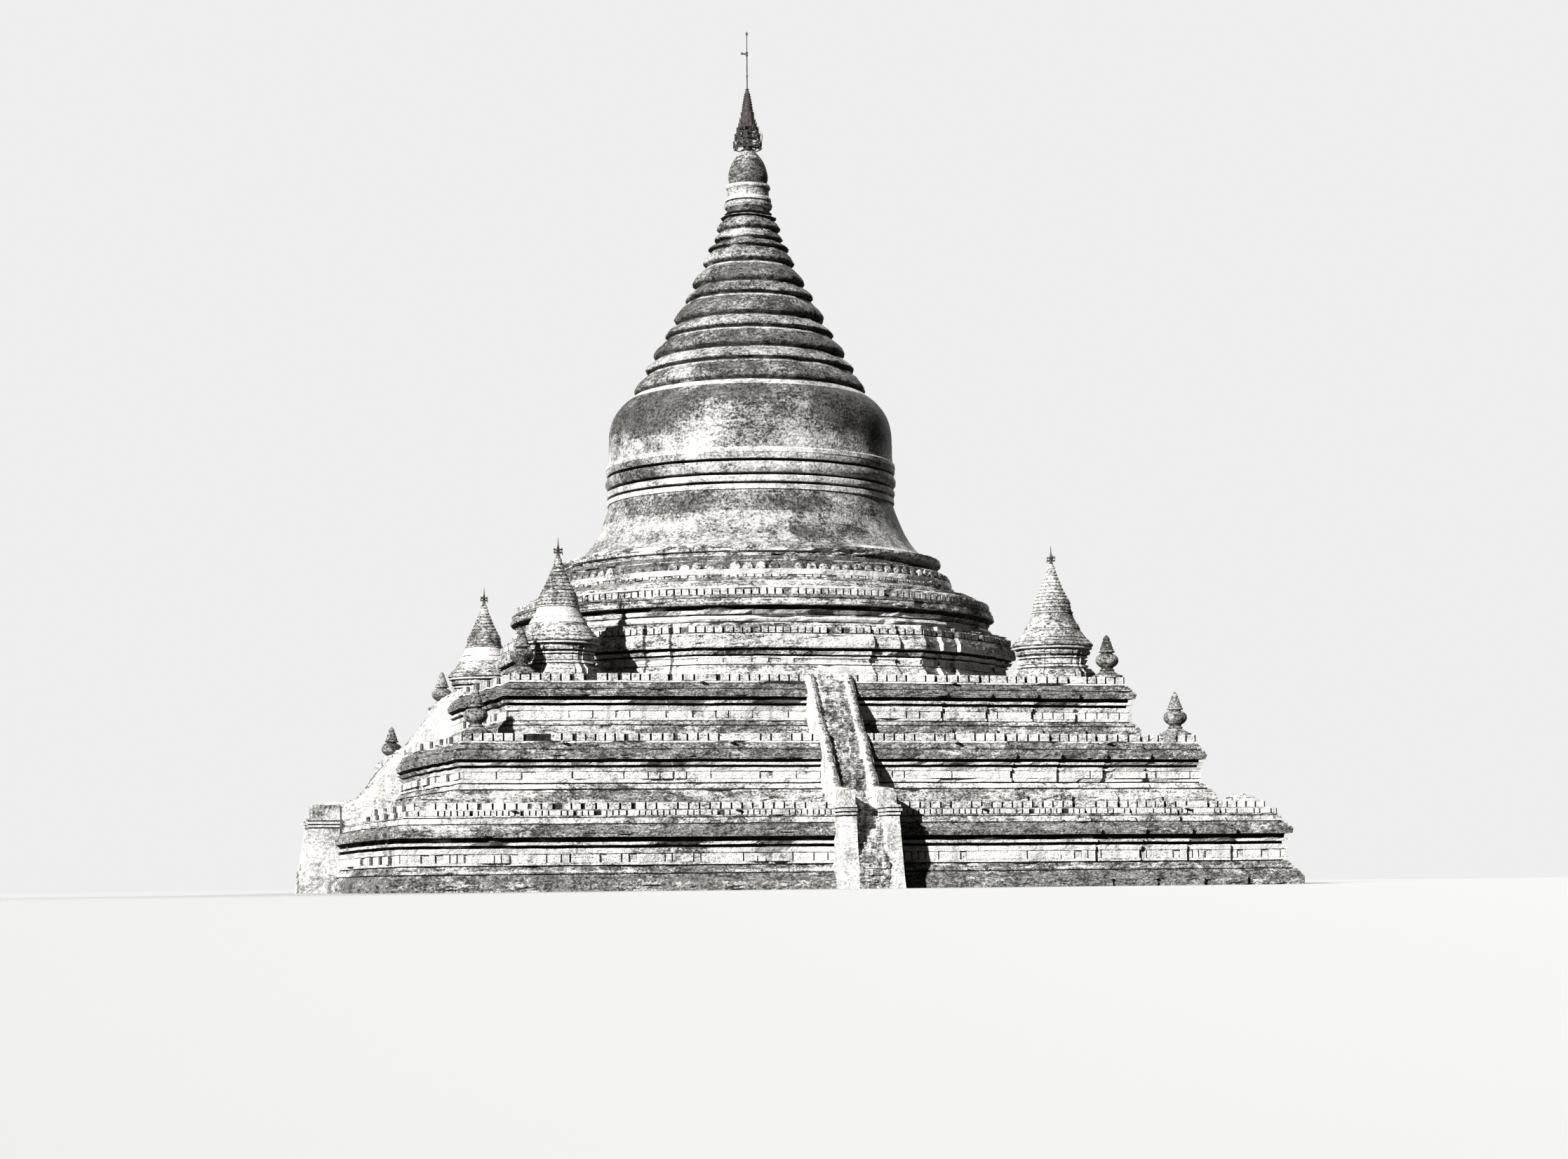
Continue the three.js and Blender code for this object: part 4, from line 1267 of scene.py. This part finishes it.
def ironwork(name, parts, nodes=(), body="stupa"):
    """One mesh of many bars, plates and leaves."""
    finish_piece(mesh_of(name, *joined(parts), welded=True, smooth=40), wrought_iron, nodes, body)


def turned_bar(outline, sides=20, centre=(0, 0), ring=False):
    """A round bar of changing thickness; a ring's outline runs up the outside and closes down the inside."""
    points = [
        around_axis(2 * math.pi * i / sides, max(radius, 0.0004), height, centre)
        for radius, height in outline
        for i in range(sides)
    ]
    return points, sheathed(len(outline), sides, ring)


def scroll_tier(name, radius, low, high, node, gone):
    """Two hoops with a row of paired scrolls between them, and spokes back to the mast."""
    chance = random.Random(name)
    middle_height, size = (low + high) / 2, (high - low) / 2 - 0.001
    parts = [hoop(radius, low), hoop(radius, high), hoop(MAST_RADIUS + 0.004, middle_height, 0.008)]
    count = round(2 * math.pi * radius / (size * 2.3))
    for number in range(count):
        angle = 2 * math.pi * number / count
        if chance.random() > gone:
            parts.append(scroll(angle, radius + 0.001, middle_height, size, 1.9, 1 if number % 2 else -1))
        if number % 2:
            tip = high + chance.uniform(0.008, 0.018)
            parts.append(leaf(angle + math.pi / count, radius + 0.001, high - 0.004, tip, 0.008, 0.006))
        else:
            drop = low - chance.uniform(0.004, 0.012)
            parts.append(leaf(angle + math.pi / count, radius + 0.001, low, drop, 0.006, 0.003))
    for spoke in range(6):
        angle = math.pi / 3 * (spoke + 0.5) + math.pi / 2
        ends = [around_axis(angle, MAST_RADIUS, middle_height), around_axis(angle, radius, middle_height)]
        parts.append(bent_bar(ends, 0.003, 0.008))
    ironwork(name, parts, [node])


scroll_tier("lower_scrolls", 0.0975, 5.094, 5.136, "crown_lower_hoop", 0.1)
scroll_tier("upper_scrolls", 0.0875, 5.154, 5.191, "crown_upper_hoop", 0.15)

cone_profile = [(0.05, 5.072), (0.048, 5.082), (MAST_RADIUS, 5.086), (MAST_RADIUS, 5.228), (0.058, 5.231)]
for (wide, low), (narrow, high) in zip(CONE_OUTLINE, CONE_OUTLINE[1:]):
    ribs = max(1, round(CONE_RIBS * (high - low) / (CONE_TOP - CONE_FOOT)))
    for rib in range(ribs):
        foot, head = rib / ribs, (rib + 0.55) / ribs
        for share, proud in ((foot, 0), ((foot + head) / 2, 0.0022), (head, -0.0012)):
            # A rib is proud of the line through its foot, and drawn in under the next one.
            line = head if share == head else foot
            cone_profile.append((wide + (narrow - wide) * line + proud, low + (high - low) * share))
cone_profile += [(0.0065, CONE_TOP - 0.004), (0.012, CONE_TOP - 0.001), (0.0125, CONE_TOP + 0.004)]
cone_profile += [(0.006, 5.518)]
cone_parts = [turned_bar(cone_profile, 36), hoop(BRIM, BRIM_HEIGHT), hoop(0.07, 5.238)]
leaves = random.Random("crown leaves")
for number in range(BRIM_LEAVES):
    if leaves.random() < 0.85:
        tip = 5.235 + leaves.uniform(0, 0.02)
        angle = 2 * math.pi * number / BRIM_LEAVES
        cone_parts.append(leaf(angle, BRIM, BRIM_HEIGHT - 0.001, tip, 0.009, 0.006))
for ring_height, ring_radius, count in ((5.256, 0.0615, 15), (5.285, 0.0535, 13), (5.325, 0.0445, 10)):
    for number in range(count):
        angle = 2 * math.pi * (number + 0.5) / count
        tip = ring_height + leaves.uniform(0.018, 0.03)
        cone_parts.append(leaf(angle, ring_radius, ring_height - 0.006, tip, 0.0075, 0.004))
for number in range(4):
    angle = QUARTER * number + 0.3
    spoke = [around_axis(angle, 0.028, BRIM_HEIGHT), around_axis(angle, BRIM, BRIM_HEIGHT)]
    cone_parts.append(bent_bar(spoke, 0.003, 0.005))
for number in range(HANGING_LEAVES):
    angle = leaves.uniform(0, 2 * math.pi)
    low, reach = 5.15 + leaves.uniform(0, 0.06), leaves.uniform(0.094, 0.106)
    bend = [
        around_axis(angle, BRIM - 0.002, low + 0.045),
        around_axis(angle, (BRIM - 0.002 + reach) / 2, low + 0.056),
        around_axis(angle + 0.04, reach, low + 0.044),
        around_axis(angle + 0.05, reach + 0.001, low + 0.022),
    ]
    cone_parts.append(bent_bar(bend, BENT_WIRE, BENT_WIRE))
    cone_parts.append(leaf(angle + 0.05, reach, low + 0.022, low, 0.006, 0.0))
ironwork("ribbed_cone", cone_parts, ["crown_cone"])


# Finial: a forged rod in the cone's tip, with a shoulder under the vane, a stop above it and a knob.
# The vane is a forked pennant of sheet iron riveted to a loose collar, so that it turns with the wind.
ROD_RADIUS = 0.0042
SHOULDER = ROD_RADIUS + 0.0035
VANE_HEIGHT = 5.764
VANE_COLLAR = 0.018
VANE_REACH = 0.045
PENNANT_THICKNESS = 0.0022
PENNANT_STEPS = 10
TIP = 5.924
vane_low, vane_high = VANE_HEIGHT - VANE_COLLAR / 2, VANE_HEIGHT + VANE_COLLAR / 2
rod_profile = [(ROD_RADIUS, CONE_TOP + 0.0005), (ROD_RADIUS, 5.6)]
rod_profile += [(0.0062, 5.603), (0.0066, 5.608), (0.0062, 5.613), (ROD_RADIUS, 5.616)]
rod_profile += [(ROD_RADIUS, vane_low - 0.009), (SHOULDER, vane_low - 0.005), (SHOULDER, vane_low - 0.0004)]
rod_profile += [(ROD_RADIUS, vane_low - 0.0002), (ROD_RADIUS, vane_high + 0.0004)]
rod_profile += [(SHOULDER, vane_high + 0.0006), (SHOULDER, vane_high + 0.0045)]
rod_profile += [(ROD_RADIUS * 0.7, vane_high + 0.008), (ROD_RADIUS * 0.65, TIP - 0.032)]
rod_profile += [(0.0062, TIP - 0.026), (0.009, TIP - 0.019), (0.0078, TIP - 0.012), (0.0036, TIP - 0.006)]
rod_profile += [(0.0008, TIP - 0.0002)]
ironwork("finial_bar", [turned_bar(rod_profile, 18)], ["finial_rod"])

collar_bore = ROD_RADIUS + 0.0004
collar_rim, collar_neck = collar_bore + 0.0028, collar_bore + 0.0018
collar_shell = [(collar_bore, vane_low), (collar_rim, vane_low), (collar_rim, vane_low + 0.003)]
collar_shell += [(collar_neck, vane_low + 0.0036), (collar_neck, vane_high - 0.0036)]
collar_shell += [(collar_rim, vane_high - 0.003), (collar_rim, vane_high), (collar_bore, vane_high)]


def pennant(root, reach, height):
    """A thin forked plate that points left from the rod, slightly bowed, with a curved lower edge."""
    points = []
    for depth in (PENNANT_THICKNESS / 2, -PENNANT_THICKNESS / 2):
        for i in range(PENNANT_STEPS + 1):
            share = i / PENNANT_STEPS
            out = root + (reach - root) * share
            bow = 0.0022 * math.sin(share * math.pi)
            middle = height - 0.001 + 0.004 * share * share
            half = 0.006 + 0.0042 * share - 0.002 * math.sin(share * math.pi)
            notch = max(0.0, share - 0.78) / 0.22
            for up, cut in ((1, 0), (notch * 0.2, notch), (-notch * 0.2, notch), (-1, 0)):
                points.append(Vector((cut * 0.006 - out, depth + bow, middle + half * up)))
    return points, plate(PENNANT_STEPS + 1, 4)


vane_parts = [turned_bar(collar_shell, ring=True), pennant(0.006, VANE_REACH, VANE_HEIGHT)]
for sideways, up in ((0.009, 0.0025), (0.009, -0.0035), (0.014, -0.001)):
    head = Vector((-sideways, -0.0012, VANE_HEIGHT + up))
    vane_parts.append(bent_bar([head, head + Vector((0, -0.0012, 0))], 0.0012, 0.0012))
ironwork("turning_pennant", vane_parts, ["vane"], "vane")


# Corner stupas: four small towers, each an eight-sided moulded base under a brick bell and a ringed cone.
# A broad white band of new plaster holds the two on the left; the right ones stand in bare grey brick.
CORNER_STUPA_CENTRE = 1.603
CORNER_COLUMNS = 64
BASE_OUTLINE = moulding(
    ("grey", (0.28, 1.309), (0.28, 1.345)),
    ("black", (0.246, 1.38), (0.236, 1.382)),
    ("pale", (0.236, 1.388), (0.244, 1.389)),
    ("black", (0.236, 1.402), (0.226, 1.404)),
    ("pale", (0.226, 1.408), (0.232, 1.409)),
    ("black", (0.232, 1.438), (0.222, 1.44)),
    ("white", (0.222, 1.446), (0.236, 1.447)),
    ("black", (0.238, 1.456), (0.226, 1.458)),
    ("grey", (0.228, 1.466), (0.246, 1.472), (0.249, 1.486), (0.24, 1.499)),
)
# Painted shade in the small grooves and ring undercuts of the corner stupas, lighter than black.
FINISHES["worn"] = (0.42, 0.1)
CONE_BOTTOM = 1.752
SMALL_RINGS = 13


def corner_bell_outline(band):
    """The round part above the base; band is the finish of the stretch that is plastered on the left ones."""
    outline = moulding(
        ("dark", (0.228, 1.496)),
        ("black", (0.236, 1.5)),
        ("white", (0.24, 1.507), (0.254, 1.51)),
        ("worn", (0.254, 1.518), (0.246, 1.52)),
        ("grey", (0.25, 1.524), (0.26, 1.529), (0.26, 1.538)),
        ("worn", (0.248, 1.551), (0.238, 1.553)),
        ("grey", (0.238, 1.557), (0.242, 1.558)),
        ("worn", (0.23, 1.572), (0.219, 1.574)),
        ("grey", (0.217, 1.579), (0.22, 1.58), (0.207, 1.597)),
        ("worn", (0.19, 1.62), (0.186, 1.622)),
        ("grey", (0.183, 1.63)),
        (band, (0.177, 1.638), (0.182, 1.64)),
        ("grey", (0.166, 1.672), (0.159, 1.674)),
        (band, (0.156, 1.679), (0.157, 1.68), (0.14, 1.712)),
        ("dark", (0.133, 1.738), (0.129, 1.739)),
        ("pale", (0.129, 1.741), (0.137, 1.742)),
        ("dark", (0.136, 1.75)),
        ("grey", (0.126, CONE_BOTTOM)),
    )
    cone = ((0.126, CONE_BOTTOM), (0.119, 1.805), (0.074, 1.897), (0.036, 1.989), (0.02, 2.05))
    for ring in range(SMALL_RINGS):
        low = CONE_BOTTOM + (2.05 - CONE_BOTTOM) * ring / SMALL_RINGS
        rise = (2.05 - CONE_BOTTOM) / SMALL_RINGS
        for (wide, foot), (narrow, head) in zip(cone, cone[1:]):
            if foot <= low < head:
                radius = wide + (narrow - wide) * (low - foot) / (head - foot)
                lean = (narrow - wide) / (head - foot) * rise
        outline.append((radius - 0.004, low + 0.0004, "worn"))
        outline.append((radius + 0.0015, low + rise * 0.2, "grey"))
        outline.append((radius + 0.001 + lean * 0.4, low + rise * 0.6, "grey"))
        outline.append((radius + lean * 0.8 - 0.002, low + rise * 0.92, "worn"))
    return outline + [(0.018, 2.052, "grey"), (0.014, 2.06, "grey")]


def eight_sided_ring(radius, height, counts=None):
    half, front = radius * math.sin(math.pi / 8), radius * math.cos(math.pi / 8)
    return share_out(stepped_side(half, front - 0.007, (half * 0.45,), 0.01), math.pi / 4, counts)


def corner_ironwork(name, centre, node):
    """The small iron umbrella: a hooped cup with loose leaves under a spike."""
    spike = [(0.013, 2.0602), (0.0125, 2.07), (0.007, 2.074), (0.006, 2.088), (0.011, 2.092)]
    spike += [(0.012, 2.1), (0.008, 2.106), (0.0095, 2.112), (0.006, 2.118), (0.0065, 2.124)]
    spike += [(0.0042, 2.13), (0.0024, 2.16), (0.0006, 2.182)]
    parts = [turned_bar(spike, 16, centre)]
    parts += [hoop(0.026, 2.083, 0.003, centre, 20), hoop(0.024, 2.102, 0.002, centre, 20)]
    chance = random.Random(name)
    for number in range(9):
        angle = 2 * math.pi * number / 9 + 0.2
        post = [around_axis(angle, 0.026, 2.083, centre), around_axis(angle, 0.0245, 2.102, centre)]
        parts.append(bent_bar(post, 0.0016, 0.0016, centre=centre))
        if chance.random() < 0.75:
            parts.append(leaf(angle, 0.0265, 2.1, 2.11 + chance.uniform(0, 0.006), 0.005, 0.001, centre))
    for number in range(3):
        angle = 2 * math.pi * number / 3
        spoke = [around_axis(angle, 0.005, 2.084, centre), around_axis(angle, 0.026, 2.084, centre)]
        parts.append(bent_bar(spoke, 0.0018, 0.0018, centre=centre))
    hang = chance.uniform(0, 2 * math.pi)
    parts.append(leaf(hang, 0.0275, 2.079, 2.066, 0.004, 0.0, centre))
    ironwork(name, parts, [node])


CORNERS = (("front_left", -1, -1), ("front_right", 1, -1), ("back_right", 1, 1), ("back_left", -1, 1))
for corner, left_right, front_back in CORNERS:
    centre = (left_right * CORNER_STUPA_CENTRE, front_back * CORNER_STUPA_CENTRE)
    node = "corner_stupa_" + corner
    stage_of_building("corner_base_" + corner, BASE_OUTLINE, eight_sided_ring, 8, [node], 0.003, 0.15, centre)
    outline = corner_bell_outline("white" if left_right < 0 else "grey")
    round_looks = {"centre": centre, "columns": CORNER_COLUMNS, "material": weathered_brick}
    stuccoed("corner_bell_" + corner, outline, [node], 0.003, **round_looks)
    corner_ironwork("corner_umbrella_" + corner, centre, "corner_finial_" + corner)


# Pots: lidded vases of brick and stucco at the corners of the upper two terraces, smoothed with a template.
# At the lowest terrace's corners only the ruined brick feet of such pots are left.
POT_COLUMNS = 40
POT_OUTLINE = moulding(
    ("blotched", (0.098, -0.004), (0.1, 0.004)),
    ("dark", (0.1, 0.012)),
    ("blotched", (0.088, 0.014)),
    ("mottled", (0.062, 0.028)),
    ("dark", (0.05, 0.038), (0.045, 0.04)),
    ("blotched", (0.045, 0.044), (0.05, 0.046)),
    ("dark", (0.046, 0.052), (0.038, 0.056)),
    ("blotched", (0.04, 0.064), (0.058, 0.076)),
    ("mottled", (0.071, 0.092), (0.075, 0.108), (0.071, 0.128)),
    ("dark", (0.058, 0.144), (0.04, 0.151)),
    ("mottled", (0.036, 0.157)),
    ("banded", (0.05, 0.16), (0.053, 0.165)),
    ("dark", (0.05, 0.171)),
    ("blotched", (0.043, 0.173)),
    ("mottled", (0.045, 0.18), (0.035, 0.205)),
    ("dark", (0.027, 0.232), (0.021, 0.234)),
    ("mottled", (0.022, 0.238), (0.024, 0.244)),
    ("blotched", (0.016, 0.26), (0.005, 0.272)),
)
POT_ROWS = (("upper", 1.872, UPPER_TOP), ("middle", 2.198, 0.932))
for corner, left_right, front_back in CORNERS:
    for row, distance, level in POT_ROWS:
        raised = [(radius, height + level, finish) for radius, height, finish in POT_OUTLINE]
        centre = (left_right * distance, front_back * distance)
        node = f"{row}_pot_{corner}"
        stuccoed(node + "_vase", raised, [node], 0.003, centre=centre, columns=POT_COLUMNS)


STUMP_CENTRE = 2.5
STUMP_OUTLINE = moulding(
    ("brick", (0.1, 0.508)),
    ("grey", (0.1, 0.518), (0.09, 0.519)),
    ("brick", (0.088, 0.528), (0.076, 0.529)),
    ("grey", (0.075, 0.538), (0.063, 0.539)),
    ("brick", (0.06, 0.548), (0.045, 0.549), (0.04, 0.557)),
)


def stump_ring(half, height, counts=None):
    """A broken square course: one corner is always further gone than the others."""
    lost = 0.3 * half
    side = [(-half + lost * 0.4, -half), (0, -half * 0.96), (half - lost, -half + lost * 0.5)]
    return share_out(side, QUARTER, counts or [3, 3, 2])


for corner, left_right, front_back in CORNERS:
    centre = (left_right * STUMP_CENTRE, front_back * STUMP_CENTRE)
    stage_of_building("ruined_foot_" + corner, STUMP_OUTLINE, stump_ring, 4, [], 0.012, 0.1, centre)


# Water spouts: short carved stone gutters just under each rim, open on top and worn thin at the lip.
# They were built into the wall with the courses, and limewashed with it.
SPOUT_LENGTH = 0.05
SPOUT_HALF_WIDTH = 0.012
SPOUT_HALF_HEIGHT = 0.009
SPOUT_SECTION = ((-0.8, -0.8), (0.8, -0.8), (1, 1), (0.62, 1), (0.5, 0.35), (-0.5, 0.35), (-0.62, 1), (-1, 1))
# Along its length: how far out, the share of its full size, and how far it is lifted.
SPOUT_STATIONS = ((-0.02, 1.0, 0.0), (0.35, 0.95, 0.0), (0.75, 0.8, 0.001), (1.0, 0.7, 0.004))
SPOUTS = (
    ("upper", 1.262, 1.964, (0.8,)),
    ("middle", 0.88, 2.304, (0.7, 1.7)),
    ("lower", 0.47, 2.654, (0.75, 2.06)),
)


def spout(x, y, bearing, height):
    """One gutter as points and faces: a notched section drawn out from the wall."""
    outward = Vector((math.sin(bearing), -math.cos(bearing), 0))
    across = Vector((math.cos(bearing), math.sin(bearing), 0))
    points = []
    for share, size, lift in SPOUT_STATIONS:
        middle = Vector((x, y, height + lift)) + outward * SPOUT_LENGTH * share
        for sideways, up in SPOUT_SECTION:
            raised = Vector((0, 0, up * SPOUT_HALF_HEIGHT * size))
            points.append(middle + across * sideways * SPOUT_HALF_WIDTH * size + raised)
    return points, sheathed(len(SPOUT_STATIONS), len(SPOUT_SECTION))


for row, height, half, distances in SPOUTS:
    places = []
    for distance in distances:
        stepped = sum(1 for gap in TERRACE_BREAKS if half - gap > distance)
        places += [(hand * distance, -half - TERRACE_STEP * stepped, 0.0, 1.0) for hand in (-1, 1)]
    points, faces = joined(spout(x, y, bearing, height) for x, y, bearing, _ in to_all_sides(places))
    finish_piece(mesh_of(row + "_spouts", points, faces, [(0.8, 0)] * len(faces)), lime_stucco)
